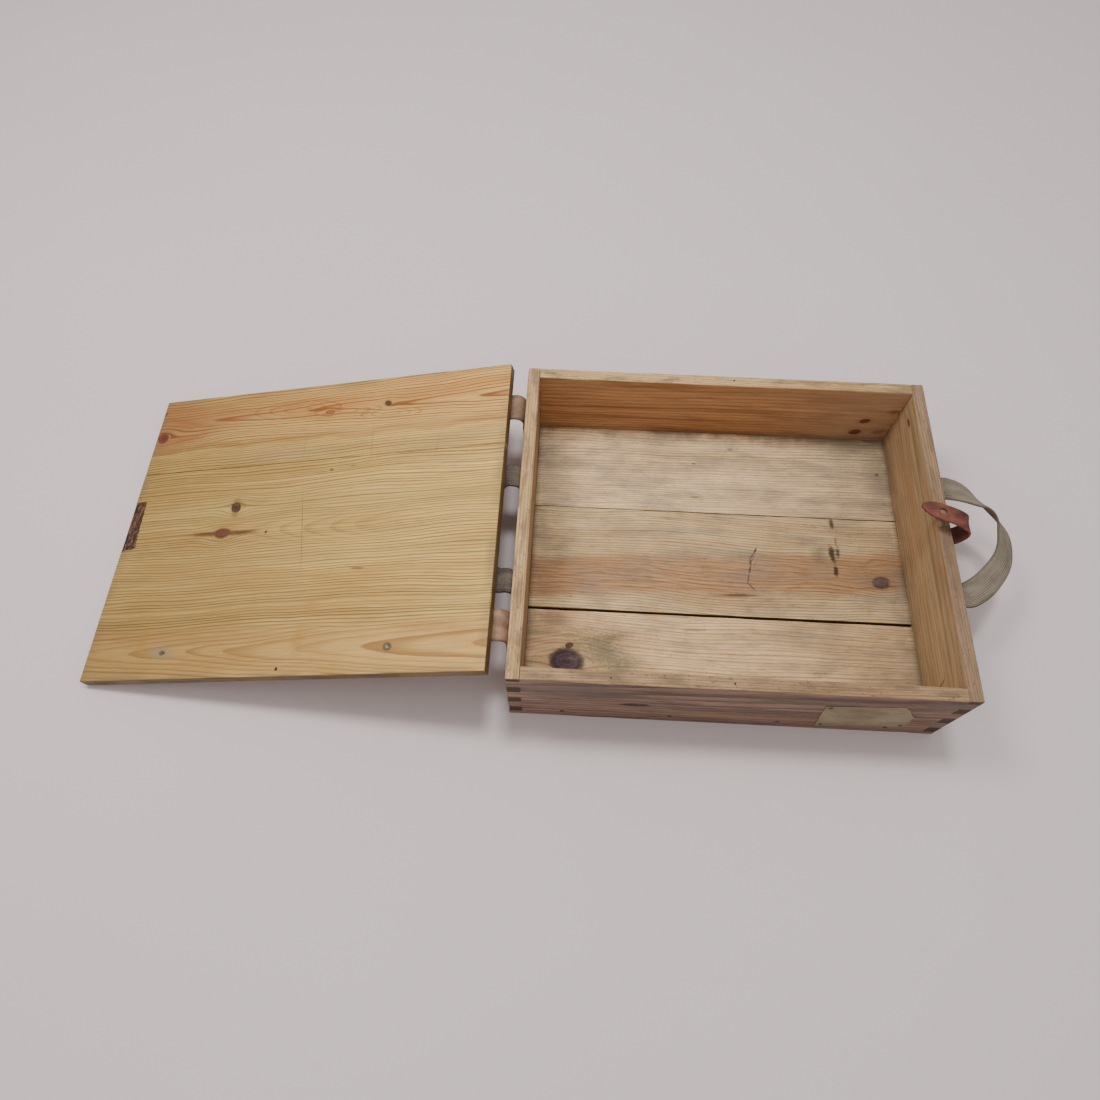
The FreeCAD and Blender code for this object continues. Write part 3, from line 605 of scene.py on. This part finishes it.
def webbing_look(name, pale, dark):
    """Woven cotton webbing: warp cords along it, picked up by the weft, from the piece's own strip map."""
    look = Look(name)
    strip = look.add("ShaderNodeAttribute")
    strip.attribute_name = "strip"
    parts = look.add("ShaderNodeSeparateXYZ")
    look.tree.links.new(strip.outputs["Vector"], parts.inputs[0])
    along, across = Term(look, parts.outputs[0]), Term(look, parts.outputs[1])
    warp = (across * (2 * math.pi / WARP_PITCH)).math("COSINE") * 0.5 + 0.5
    step = (across * (1 / WARP_PITCH)).math("FLOOR") * 0.5
    weft = ((along * (1 / WEFT_PITCH) + step) * (2 * math.pi)).math("SINE") * 0.5 + 0.5
    cloud = look.noise(along * 0.03, across * 0.10, 2.0, 4.0, 0.6)
    fuzz = look.noise(along * 1.3, across * 1.3, 4.0, 2.0, 0.7)
    colour = look.blend(cloud.rise(0.3, 0.7), pale, dark)
    colour = look.scale(colour, warp * 0.32 + weft * 0.26 + 0.5 + fuzz * 0.3)
    soiled = look.noise(along * 0.06, across * 0.25, 9.0, 4.0, 0.65)
    colour = look.darken(colour, soiled.rise(0.5, 0.7) * 0.4, 0.6)
    edge = across.size().rise(10.2, 12.0)
    colour = look.darken(colour, edge * 0.65, 0.5)
    return look.finish(colour, 0.9, warp + weft * 0.8 + fuzz * 0.6, 0.5, 0.15)


def steel_look(name, seed):
    """Dull nail steel with rust."""
    look = Look(name)
    x, y, z = look.along((1, 0, 0)), look.along((0, 1, 0)), look.along((0, 0, 1))
    rust = look.noise(x * 0.5, y * 0.5, z * 0.5 + seed, 3.0, 0.6)
    colour = look.blend(rust.rise(0.4, 0.65), "5b544d", "4a2f20")
    look.shader.inputs["Metallic"].default_value = 0.6
    return look.finish(colour, rust * 0.4 + 0.4, rust, 0.15, 0.5)


def paper_look(name):
    """An aged, rubbed paper label with no print left, only stains and scuffs."""
    look = Look(name)
    u, v = look.along((1, 0, 0)), look.along((0, 0, 1))
    cloud = look.noise(u * 0.03, v * 0.04, 3.0, 5.0, 0.6)
    fibre = look.noise(u * 0.6, v * 0.6, 8.0, 3.0, 0.7)
    scuff = look.noise(u * 0.05, v * 0.35, 5.0, 4.0, 0.7)
    colour = look.blend(cloud.rise(0.3, 0.7), "a09378", "85765c")
    colour = look.blend(scuff.rise(0.56, 0.68) * 0.45, colour, "6c5a44")
    colour = look.scale(colour, fibre * 0.2 + 0.9)
    return look.finish(colour, 0.85, cloud + fibre * 0.3, 0.3, 0.2)


def table_look():
    """A plain pale tabletop."""
    look = Look("table")
    x, y = look.along((1, 0, 0)), look.along((0, 1, 0))
    cloud = look.noise(x * 0.004, y * 0.004, 1.0, 2.0)
    colour = look.blend(cloud, "e4d6d4", "e8dbd9")
    return look.finish(colour, 0.7, None, 0.0, 0.3)


# --- pieces ---
def new_piece(name, mesh, material):
    """A named object with one material."""
    piece = add_object(name, mesh)
    mesh.materials.clear()
    mesh.materials.append(material)
    return piece


def cut_across(work, axis, step):
    """Cut a bmesh with planes square to an axis, step apart."""
    values = [vertex.co[axis] for vertex in work.verts]
    low, high = min(values), max(values)
    count = int((high - low) / step)
    normal = Vector((0, 0, 0))
    normal[axis] = 1.0
    for i in range(1, count + 1):
        place = Vector((0, 0, 0))
        place[axis] = low + (high - low) * i / (count + 1)
        everything = work.verts[:] + work.edges[:] + work.faces[:]
        bmesh.ops.bisect_plane(work, geom=everything, plane_co=place, plane_no=normal, dist=1e-7)


# Dents to a metre of edge.
BROAD_DENTS = 38.0
FINE_DENTS = 160.0


def worn_board(node, material, body, seed, edge=0.9, step=9.0, dent=0.9, turn=None, seam_y=None):
    """A copy of a board with rounded, knocked edges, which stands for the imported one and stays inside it."""
    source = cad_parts[node]
    mesh = source.data.copy()
    work = bmesh.new()
    work.from_mesh(mesh)
    if turn is not None:
        work.transform(turn)
    bmesh.ops.remove_doubles(work, verts=work.verts[:], dist=1e-6)
    bmesh.ops.dissolve_limit(work, angle_limit=math.radians(1.0), verts=work.verts[:], edges=work.edges[:])
    sharp = [e for e in work.edges if len(e.link_faces) == 2 and e.calc_face_angle() > math.radians(60)]
    if seam_y is not None:
        sharp = [e for e in sharp if any(abs(v.co.y - seam_y * MM) > 0.5 * MM for v in e.verts)]
    rounding = {"offset": edge * MM, "segments": 3, "profile": 0.6, "affect": "EDGES", "clamp_overlap": True}
    bmesh.ops.bevel(work, geom=sharp, **rounding)
    sizes = [max(v.co[i] for v in work.verts) - min(v.co[i] for v in work.verts) for i in range(3)]
    for axis in range(3):
        if sizes[axis] > 3 * step * MM:
            cut_across(work, axis, step * MM)
    work.normal_update()
    for vertex in work.verts:
        paired = [e for e in vertex.link_edges if len(e.link_faces) == 2]
        if max((e.calc_face_angle(0.0) for e in paired), default=0.0) < 0.1:
            continue
        broad = noise.noise(vertex.co * BROAD_DENTS + Vector((seed, 0, 0)))
        fine = noise.noise(vertex.co * FINE_DENTS + Vector((0, seed, 0)))
        depth = max(0.0, broad) ** 1.5 * dent + max(0.0, fine) * 0.25 * dent
        vertex.co -= vertex.normal * depth * MM
    if turn is not None:
        work.transform(turn.inverted())
    work.to_mesh(mesh)
    work.free()
    piece = new_piece("worn_" + node, mesh, material)
    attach(piece, body)
    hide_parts(node)


def strap_mesh(name, stations, width_points, thickness):
    """A strap through stations of middle, across and width, with rounded edges and its own strip map."""
    middles = [station[0] for station in stations]
    half = thickness / 2
    profile = [(share, lift * half) for share, lift in width_points]
    ring = profile + [(share, -lift) for share, lift in reversed(profile)]
    vertices, strips = [], []
    travelled = 0.0
    for i, (middle, across, width) in enumerate(stations):
        before, after = middles[max(i - 1, 0)], middles[min(i + 1, len(middles) - 1)]
        if i:
            travelled += (middle - middles[i - 1]).length
        forward = (after - before).normalized()
        side = (across - forward * across.dot(forward)).normalized()
        up = forward.cross(side)
        for share, lift in ring:
            vertices.append((middle + side * (share * width / 2) + up * lift) * MM)
            strips.append((travelled, share * width / 2, 0.0))
    count = len(ring)
    faces = []
    for i in range(len(stations) - 1):
        for j in range(count):
            k = (j + 1) % count
            faces.append((i * count + j, i * count + k, (i + 1) * count + k, (i + 1) * count + j))
    faces.append(tuple(range(count)))
    faces.append(tuple(reversed(range((len(stations) - 1) * count, len(stations) * count))))
    mesh = bpy.data.meshes.new(name)
    mesh.from_pydata(vertices, [], faces)
    mesh.validate()
    work = bmesh.new()
    work.from_mesh(mesh)
    bmesh.ops.recalc_face_normals(work, faces=work.faces[:])
    work.to_mesh(mesh)
    work.free()
    store = mesh.attributes.new("strip", "FLOAT_VECTOR", "POINT")
    store.data.foreach_set("vector", [value for strip in strips for value in strip])
    for polygon in mesh.polygons:
        polygon.use_smooth = len(polygon.vertices) == 4
    return mesh


FLAT_PROFILE = [(-1.0, 0.3), (-0.94, 0.86), (-0.6, 1.0), (0.0, 1.0), (0.6, 1.0), (0.94, 0.86), (1.0, 0.3)]


def smooth_route(points, per_span=6):
    """Catmull-Rom points through a route of (middle, across, width)."""
    result = []
    for i in range(len(points) - 1):
        quad = [points[max(i - 1, 0)], points[i], points[i + 1], points[min(i + 2, len(points) - 1)]]
        for j in range(per_span):
            result.append(between(quad, j / per_span))
    result.append(points[-1])
    return result


def between(quad, t):
    """A point of a Catmull-Rom span, for a tuple of vector, vector and number."""
    weights = (
        -0.5 * t**3 + t**2 - 0.5 * t,
        1.5 * t**3 - 2.5 * t**2 + 1.0,
        -1.5 * t**3 + 2.0 * t**2 + 0.5 * t,
        0.5 * t**3 - 0.5 * t**2,
    )
    mixed = []
    for part in range(3):
        total = quad[0][part] * weights[0]
        for item, weight in zip(quad[1:], weights[1:]):
            total = total + item[part] * weight
        mixed.append(total)
    return tuple(mixed)


# --- hinge straps ---
def on_lid(s, t):
    """A point of the lid's long section, s from its hinge edge and t up out of its inner face."""
    return LID_EDGE + LID_OUTWARD * s + LID_NORMAL * t


def hinge_strap(name, y, material):
    """One leather strap from under the lid, over the gap, round a bend and down the end board."""
    half = LEATHER / 2
    across = Vector((0, 1, 0))
    at_y = Vector((0, y, 0))
    middle_t = -LID_THICKNESS - half
    start = on_lid(HINGE_LID_REACH, middle_t)
    root = on_lid(HINGE_LID_EDGE, middle_t)
    radius = HINGE_BEND + half
    centre_x = -HALF_X - HINGE_BEND - LEATHER
    over = Vector((centre_x, 0, 0)) + LID_NORMAL * radius
    run = (over.x - root.x) / -LID_OUTWARD.x
    over.z = root.z - LID_OUTWARD.z * run
    centre = over - LID_NORMAL * radius
    points = [(start + (root - start) * k / 6, across) for k in range(7)]
    points += [(root + (over - root) * k / 3, across) for k in range(1, 4)]
    first = math.pi / 2 + LID_TILT
    for k in range(1, 11):
        angle = first * (1 - k / 10)
        points.append((centre + Vector((math.cos(angle), 0, math.sin(angle))) * radius, across))
    foot = Vector((-HALF_X - half, 0, HINGE_FOOT))
    last = points[-1][0].copy()
    points += [(last + (foot - last) * k / 8, across) for k in range(1, 9)]
    stations = []
    for i, (point, side) in enumerate(points):
        narrow = {0: 0.86, len(points) - 1: 0.84}.get(i, 1.0)
        stations.append((point + at_y, side, HINGE_STRAP_WIDTH * narrow))
    mesh = strap_mesh(name, stations, FLAT_PROFILE, LEATHER * 0.98)
    piece = new_piece(name, mesh, material)
    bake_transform(piece)
    return piece


# --- webbing handles ---
def quarter(side, y):
    """Points of the bend between a handle's tab and its level leg, from the tab's foot outward."""
    face = HALF_X + TAB_GAP + WEBBING / 2
    radius = HANDLE_LEG_START - face
    straight = HANDLE_LEVEL - radius
    points = [Vector((side * face, y, z)) for z in (32.0, 36.0, 44.0, 52.0, 60.0, 65.0)]
    for k in range(7):
        angle = math.pi / 2 * k / 6
        reach = Vector((-math.cos(angle) * side, 0, math.sin(angle))) * radius
        points.append(Vector((side * (face + radius), y, straight)) + reach)
    return points


def handle_piece(name, body, side, route, material):
    """One webbing handle from tab to tab."""
    back = HANDLE_PITCH / 2 + HANDLE_SHIFT[name]
    front = -HANDLE_PITCH / 2 + HANDLE_SHIFT[name]
    loop = smooth_route([(Vector(point), Vector(across), WEBBING_WIDTH) for point, across in route], 6)
    stations = [(point, Vector((0, 1, 0)), WEBBING_WIDTH) for point in quarter(side, back)[:-1]]
    stations += loop
    stations += [(point, Vector((0, -1, 0)), WEBBING_WIDTH) for point in reversed(quarter(side, front)[:-1])]
    mesh = strap_mesh(name + "_webbing", stations, FLAT_PROFILE, WEBBING * 0.98)
    piece = new_piece(name + "_webbing", mesh, material)
    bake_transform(piece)
    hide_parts(body, name + "_handle_bends", name + "_handle_tabs")


# Each point of a route: its place, and which way the strap's width runs there.
RIGHT_ROUTE = [
    ((208.5, 60, 76), (0, 1, 0)),
    ((218, 59.5, 77.5), (0, 1, 0)),
    ((230, 56.5, 77), (0.1, 1, -0.15)),
    ((243, 50.5, 75), (0.3, 0.8, -0.5)),
    ((257, 44, 71), (0.4, 0.4, -0.82)),
    ((267, 33, 67), (0.6, 0.0, -0.8)),
    ((271.5, 20, 64.5), (0.75, -0.1, -0.65)),
    ((271, 5, 63), (0.8, -0.18, -0.57)),
    ((265, -11, 63.5), (0.78, -0.36, -0.45)),
    ((252.5, -27, 66), (0.7, -0.62, -0.35)),
    ((237, -42, 71), (0.48, -0.86, -0.2)),
    ((219, -54, 76), (0.1, -1, 0)),
    ((208.5, -54, 76), (0, -1, 0)),
]
LEFT_ROUTE = [
    ((-208.5, 53, 76), (0, 1, 0)),
    ((-219, 52, 74), (0, 1, 0)),
    ((-236, 38, 67), (-0.45, 0.85, 0.1)),
    ((-251, 23, 58), (-0.8, 0.55, 0.25)),
    ((-258, -4, 53), (-0.9, 0, 0.35)),
    ((-251, -31, 58), (-0.8, -0.55, 0.25)),
    ((-236, -46, 67), (-0.45, -0.85, 0.1)),
    ((-219, -60, 74), (0, -1, 0)),
    ((-208.5, -61, 76), (0, -1, 0)),
]


# --- the closing tongue ---
TONGUE_WIDTH = 17.0
TONGUE_Y = -4.5
TONGUE_SKEW = Vector((math.sin(math.radians(20)), math.cos(math.radians(20)), 0))
TONGUE_THICKNESS = 2.5
TONGUE_HOLE = Vector((187.0, 7.0, 120.5))
TONGUE_HOLE_RADIUS = 3.3
# Each point: its place, whether the width is skewed there, and its share of the full width.
TONGUE_ROUTE = [
    ((201.4, TONGUE_Y, 58), 0, 0.62),
    ((201.4, TONGUE_Y, 61), 0, 0.92),
    ((201.4, TONGUE_Y, 66), 0, 1.0),
    ((201.4, TONGUE_Y, 78), 0, 1.0),
    ((201.4, TONGUE_Y, 90), 0, 1.0),
    ((202.6, TONGUE_Y, 96), 0, 1.0),
    ((206, TONGUE_Y, 100), 0, 1.0),
    ((209, -4.3, 105), 0, 1.0),
    ((210.7, -4.0, 110), 0, 1.0),
    ((209.8, -3.0, 115.5), 0, 1.0),
    ((206, -1.0, 119.3), 1, 1.0),
    ((199, 2.0, 121.2), 1, 1.0),
    ((191, 5.5, 121), 1, 1.0),
    ((184, 8.2, 120.8), 1, 1.0),
    ((179, 10.0, 120.8), 1, 0.94),
    ((175, 11.5, 120.9), 1, 0.74),
    ((171.5, 12.8, 121), 1, 0.46),
    ((169.0, 13.7, 121), 1, 0.2),
]


def tongue_piece(material):
    """The leather tongue, from its nailed end to its pointed tip, with its button hole."""
    route = []
    for point, skewed, share in TONGUE_ROUTE:
        across = TONGUE_SKEW if skewed else Vector((0, 1, 0))
        route.append((Vector(point), across, TONGUE_WIDTH * share))
    mesh = strap_mesh("tongue", smooth_route(route, 4), FLAT_PROFILE, TONGUE_THICKNESS)
    piece = new_piece("tongue", mesh, material)
    punch = bpy.data.meshes.new("punch")
    work = bmesh.new()
    radius = TONGUE_HOLE_RADIUS * MM
    bmesh.ops.create_cone(work, cap_ends=True, segments=24, radius1=radius, radius2=radius, depth=20 * MM)
    work.transform(Matrix.Translation(TONGUE_HOLE * MM))
    work.to_mesh(punch)
    work.free()
    tool = add_object("punch", punch)
    cut = piece.modifiers.new("hole", "BOOLEAN")
    cut.operation = "DIFFERENCE"
    cut.object = tool
    bpy.context.view_layer.update()
    holed = bpy.data.meshes.new_from_object(piece.evaluated_get(bpy.context.evaluated_depsgraph_get()))
    piece.modifiers.clear()
    piece.data = holed
    bpy.data.objects.remove(tool)
    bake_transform(piece)
    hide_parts("closing_tongue", "tongue_flex", "tongue_tab")


# --- the label ---
LABEL_MIDDLE = (121.8, 47.5)
LABEL_TURN = math.radians(-7.0)
LABEL_BACK_Y = -HALF_Y - 0.05
LABEL_FACE_Y = -HALF_Y - 0.45
# Each corner's place on the label, and how ragged the edge that follows it is.
LABEL_CORNERS = [
    (-40.4, 30.9, 0.3),
    (27.0, 30.9, 1.4),
    (33.5, 21.0, 1.8),
    (37.0, 10.0, 1.4),
    (40.4, 3.0, 0.4),
    (40.4, -30.9, 0.5),
    (-40.4, -30.9, 0.5),
]


def rubbed_away(x, z, layer):
    """How much of the paper's edge is gone at a place on the label, from 0 to 1."""
    return 0.5 + 0.5 * noise.noise(Vector((x * 0.4, z * 0.4, layer)))


def label_piece(material):
    """A paper label whose edges are rubbed and whose upper right corner is torn away."""
    outline = []
    for i, (x, z, ragged) in enumerate(LABEL_CORNERS):
        next_x, next_z, _ = LABEL_CORNERS[(i + 1) % len(LABEL_CORNERS)]
        steps = max(2, int(math.dist((x, z), (next_x, next_z)) / 3.0))
        for j in range(steps):
            px = x + (next_x - x) * j / steps
            pz = z + (next_z - z) * j / steps
            px -= rubbed_away(px, pz, 1.0) * ragged * math.copysign(1.0, px)
            pz -= rubbed_away(px, pz, 9.0) * ragged * math.copysign(1.0, pz)
            turned_x = px * math.cos(LABEL_TURN) + pz * math.sin(LABEL_TURN)
            turned_z = pz * math.cos(LABEL_TURN) - px * math.sin(LABEL_TURN)
            outline.append((LABEL_MIDDLE[0] + turned_x, LABEL_MIDDLE[1] + turned_z))
    count = len(outline)
    vertices = [Vector((x, LABEL_BACK_Y, z)) * MM for x, z in outline]
    vertices += [Vector((x, LABEL_FACE_Y, z)) * MM for x, z in outline]
    faces = [tuple(range(count)), tuple(reversed(range(count, 2 * count)))]
    faces += [(i, (i + 1) % count, count + (i + 1) % count, count + i) for i in range(count)]
    mesh = bpy.data.meshes.new("label")
    mesh.from_pydata(vertices, [], faces)
    work = bmesh.new()
    work.from_mesh(mesh)
    bmesh.ops.recalc_face_normals(work, faces=work.faces[:])
    cut_across(work, 0, 6 * MM)
    cut_across(work, 2, 6 * MM)
    for vertex in work.verts:
        wave = 0.5 + 0.5 * noise.noise(vertex.co * 60.0)
        corner = max(0.0, (vertex.co.x - 0.150) / 0.018) * max(0.0, (vertex.co.z - 0.045) / 0.02)
        vertex.co.y -= (wave * 0.25 + min(corner, 1.0) * 0.8) * MM
    work.to_mesh(mesh)
    work.free()
    piece = new_piece("label", mesh, material)
    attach(piece, "case")
    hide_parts("paper_label")


# --- build ---
WEATHERED = ("b09270", "6f5540", "9a765a")
RUBBED = ("d8b27e", "98724a", "c59a68")
REDDISH = ("c39367", "7e5034", "ae7d54")
GOLDEN = ("b39873", "80654a", "a38362")

back_board = board_look(
    "back_board_wood",
    3.1,
    (1, 0, 0),
    (0, 1, 0),
    [((157, 56), 3.2, 1.5, 20, "8a4c34", "5e3020"), ((153, 36), 4.0, 1.4, 10, "844030", "5c2c20")],
    WEATHERED,
    REDDISH,
    RUBBED,
    inner_marks=[
        ((178, 38), (7, 3), 15, 0.6, 0.3, 0.5, "6e3c26"),
        ((-40, 62), (150, 3), 1, 0.8, 0.3, 0.4, "6c4028"),
        ((-90, 45), (120, 2.2), -1, 0.8, 0.3, 0.4, "74452b"),
        ((182, 73), (6, 4), 0, 0.7, 0.3, 0.5, "5a3020"),
    ],
    far_end_light=0.55,
    pith=(190.0, -110.0),
)
front_board = board_look(
    "front_board_wood",
    8.7,
    (1, 0, 0),
    (0, -1, 0),
    [((-85, 48), 3.6, 3.4, 2, "35211a", "2a1a15")],
    ("9c7d66", "54413a", "86695a"),
    REDDISH,
    ("b8956c", "80624a", "a3805c"),
    outer_marks=[
        ((-12, 90), (34, 2.6), 3, 0.7, 0.4, 0.6, "4c3c33"),
        ((-64, 86), (22, 2.2), -2, 0.7, 0.4, 0.6, "4c3c33"),
        ((-101, 72), (26, 5), 0, 0.8, 0.4, 0.5, "5a4a40"),
        ((71, 84), (40, 5), 2, 0.8, 0.5, 0.4, "68563f"),
        ((-150, 80), (40, 16), 0, 0.9, 0.5, 0.4, "766a5c"),
        ((20, 25), (120, 9), 1, 0.9, 0.4, 0.35, "a8845c"),
    ],
    pith=(120.0, -70.0),
)
left_board = board_look(
    "left_end_board_wood",
    14.3,
    (0, 1, 0),
    (-1, 0, 0),
    [((40, 60), 4.5, 1.3, 20, "5c3a26", "3e261a")],
    WEATHERED,
    GOLDEN,
    RUBBED,
)
right_board = board_look(
    "right_end_board_wood",
    21.9,
    (0, 1, 0),
    (1, 0, 0),
    [((131, 86), 2.0, 2.2, 0, "7c522c", "5e3c20")],
    WEATHERED,
    GOLDEN,
    ("a08162", "6c5240", "8a6d54"),
    inner_marks=[
        ((97, 73), (26, 4), 4, 0.9, 0.4, 0.4, "7a5634"),
        ((-136, 60), (8, 0.8), 70, 0.5, 0.3, 0.8, "3a2416"),
        ((0, 62), (90, 5), 3, 0.9, 0.4, 0.3, "b58f5c"),
    ],
)
floor_back = floor_look(
    "floor_back_wood",
    5.5,
    ("efcb9c", "93764f", "d6b48a"),
    [],
    [
        ((144, 137), (26, 16), 30, 0.9, 0.6, 0.55, "7c766a"),
        ((176, 120), (14, 40), 0, 0.9, 0.6, 0.55, "77705f"),
        ((-178, 106), (14, 30), 0, 0.9, 0.6, 0.5, "7a7268"),
        ((-20, 112), (2.0, 1.2), 0, 0.4, 0.2, 0.7, "5c4432"),
        ((20, 132), (3.0, 1.8), 0, 0.4, 0.2, 0.6, "6a5038"),
        ((-20, 70), (5.0, 1.4), 0, 0.5, 0.3, 0.6, "6a543c"),
        ((176, 108), (2.0, 1.6), 0, 0.3, 0.1, 0.9, "30241a"),
    ],
    [],
    pith=(330.0, -120.0),
)
floor_middle = floor_look(
    "floor_middle_wood",
    12.2,
    ("dcbc8c", "8f6d42", "cba677"),
    [((164, -20), 6.2, 1.3, 10, "643c3a", "34201f")],
    [
        ((20, -41), (19, 1.6), 2, 0.5, 0.3, 0.85, "4a2d20"),
        ((108, 7), (9, 12), 0, 0.9, 0.5, 0.35, "8c7f68"),
        ((118, 10), (3.2, 9), 8, 0.5, 0.8, 0.9, "2c221a"),
        ((124, 12), (2.0, 6), -4, 0.5, 0.8, 0.8, "33281f"),
        ((120, -9), (2.2, 6), 0, 0.5, 0.7, 0.9, "241b14"),
        ((121, 46), (2.2, 6), 4, 0.5, 0.7, 0.9, "241b14"),
        ((104, 8), (6, 7), 0, 0.8, 0.8, 0.45, "6a5a48"),
        ((123, 24), (1.0, 5), 0, 0.6, 0.4, 0.6, "4c3f30"),
    ],
    [
        ((41, 13), (38, 6), 2.0, 0.9, "3a2016"),
        ((38, 6), (34, 1), 2.4, 0.9, "3a2016"),
        ((34, 1), (34, -8), 2.2, 0.9, "3a2016"),
        ((34, -8), (32, -16), 2.0, 0.9, "3a2016"),
        ((39, 4), (33, -6), 1.2, 0.7, "5a3626"),
        ((32, -16), (30, -27), 1.6, 0.85, "442619"),
        ((30, -27), (37, -35), 1.6, 0.8, "4c2c1e"),
        ((41, 2), (37, -10), 1.0, 0.5, "6a4430"),
    ],
    depth=0.9,
    band=(-19.0, 22.0, "ad784d"),
    pith=(-300.0, -100.0),
)
floor_front = floor_look(
    "floor_front_wood",
    19.8,
    ("e9c390", "967247", "d2aa7c"),
    [((-148, -118), 11.5, 1.3, -8, "574042", "35262a"), ((-146, -102), 2.6, 1.4, 20, "6b4638", "4c3026")],
    [
        ((-114, -106), (24, 12), -25, 0.9, 1.0, 0.75, "686449"),
        ((-97, -122), (15, 8), 20, 0.9, 1.0, 0.65, "706b50"),
        ((-105, -92), (18, 4), 12, 0.9, 1.0, 0.6, "5f5943"),
        ((-160, -76), (12, 6), 0, 0.8, 0.6, 0.5, "74604e"),
        ((-26, -80), (10, 1.6), 2, 0.6, 0.4, 0.5, "7a5c40"),
        ((111, -74), (10, 8), 0, 0.9, 0.6, 0.3, "857c68"),
    ],
    [],
    pith=(-320.0, -90.0),
    pitch=3.0,
)
lid_back = lid_look("lid_back_wood", 6.4, [knot for knot in LID_KNOTS if knot[0][1] > 75])
lid_front = lid_look("lid_front_wood", 6.4, [knot for knot in LID_KNOTS if knot[0][1] < 75])

lid_turn = Matrix.Rotation(LID_TILT, 4, "Y")
worn_board("back_board", back_board, "case", 1.0)
worn_board("front_board", front_board, "case", 2.0)
worn_board("left_end_board", left_board, "case", 3.0)
worn_board("right_end_board", right_board, "case", 4.0)
worn_board("floor_board_back", floor_back, "case", 5.0, edge=0.6)
worn_board("floor_board_middle", floor_middle, "case", 6.0, edge=0.6)
worn_board("floor_board_front", floor_front, "case", 7.0, edge=0.6)
worn_board("lid_board_back", lid_back, "lid", 8.0, edge=0.7, turn=lid_turn, seam_y=LID_SEAM_Y)
worn_board("lid_board_front", lid_front, "lid", 9.0, edge=0.7, turn=lid_turn, seam_y=LID_SEAM_Y)

floor_batten = batten_look("floor_batten_wood", 4.4, (0, 1, 0), (1, 0, 0), (0, 0, 1))
for place, name in enumerate(("left", "middle", "right")):
    worn_board("floor_batten_" + name, floor_batten, "case", 10.0 + place)
lid_batten = batten_look("lid_batten_wood", 9.4, (0, 1, 0), LID_OUTWARD, LID_NORMAL)
for place, name in enumerate(("hinge_side", "free_side")):
    worn_board("lid_batten_" + name, lid_batten, "lid", 13.0 + place, turn=lid_turn)

strap_tones = {"back": ("a08069", "7a5c46"), "front": ("b8957c", "8e6850")}
for name, y in HINGE_STRAP_Y.items():
    pale, dark = strap_tones[name]
    leather = leather_look("leather_" + name, y, pale, dark, (1, 0, 0), (0, 1, 0), y, HINGE_STRAP_WIDTH / 2)
    strap = hinge_strap("hinge_strap_" + name, y, leather)
    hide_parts(*("hinge_" + name + "_" + part for part in ("lid_tab", "flex", "box_tab")))

handle_piece("right", "right_handle", 1, RIGHT_ROUTE, webbing_look("webbing_right", "a39683", "877b69"))
handle_piece("left", "left_handle", -1, LEFT_ROUTE, webbing_look("webbing_left", "a09082", "7a6d62"))
tongue_piece(leather_look("tongue_leather", 2.0, "84493a", "4c2820", (1, 0, 0), (0, 1, 0), 6.0, 30.0))
label_piece(paper_look("label_paper"))

steel = steel_look("nail_steel", 1.0)
for name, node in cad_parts.items():
    if name.endswith("nails") or name in ("label_tacks", "lid_stud"):
        node.data.materials.clear()
        node.data.materials.append(steel)

# --- the table and the light ---
TABLE_HALF = 3.0
corners = [(x * TABLE_HALF, y * TABLE_HALF, 0) for x, y in ((-1, -1), (1, -1), (1, 1), (-1, 1))]
table = bpy.data.meshes.new("table")
table.from_pydata(corners, [], [(0, 1, 2, 3)])
new_piece("table", table, table_look())


def soft_light(name, place, aim, size, power, colour):
    """A large square light."""
    data = bpy.data.lights.new(name, "AREA")
    data.shape = "SQUARE"
    data.size = size
    data.energy = power
    data.color = colour
    lamp = add_object(name, data)
    lamp.location = place
    lamp.rotation_euler = (Vector(aim) - Vector(place)).to_track_quat("-Z", "Y").to_euler()


soft_light("left", (-0.90, 0.32, 1.60), (-0.1, 0.0, 0.0), 0.45, 12.0, (1.0, 0.97, 0.92))
soft_light("over_the_gap", (-0.10, 0.36, 2.00), (-0.15, 0.0, 0.0), 0.30, 14.5, (0.92, 0.96, 1.0))
soft_light("ceiling", (-0.1, -0.3, 2.6), (0.0, 0.0, 0.0), 2.6, 10.0, (0.97, 0.98, 1.0))
world = bpy.data.worlds.new("room")
world.use_nodes = True
world.node_tree.nodes["Background"].inputs["Color"].default_value = (0.87, 0.85, 0.85, 1.0)
world.node_tree.nodes["Background"].inputs["Strength"].default_value = 0.58
bpy.context.scene.world = world
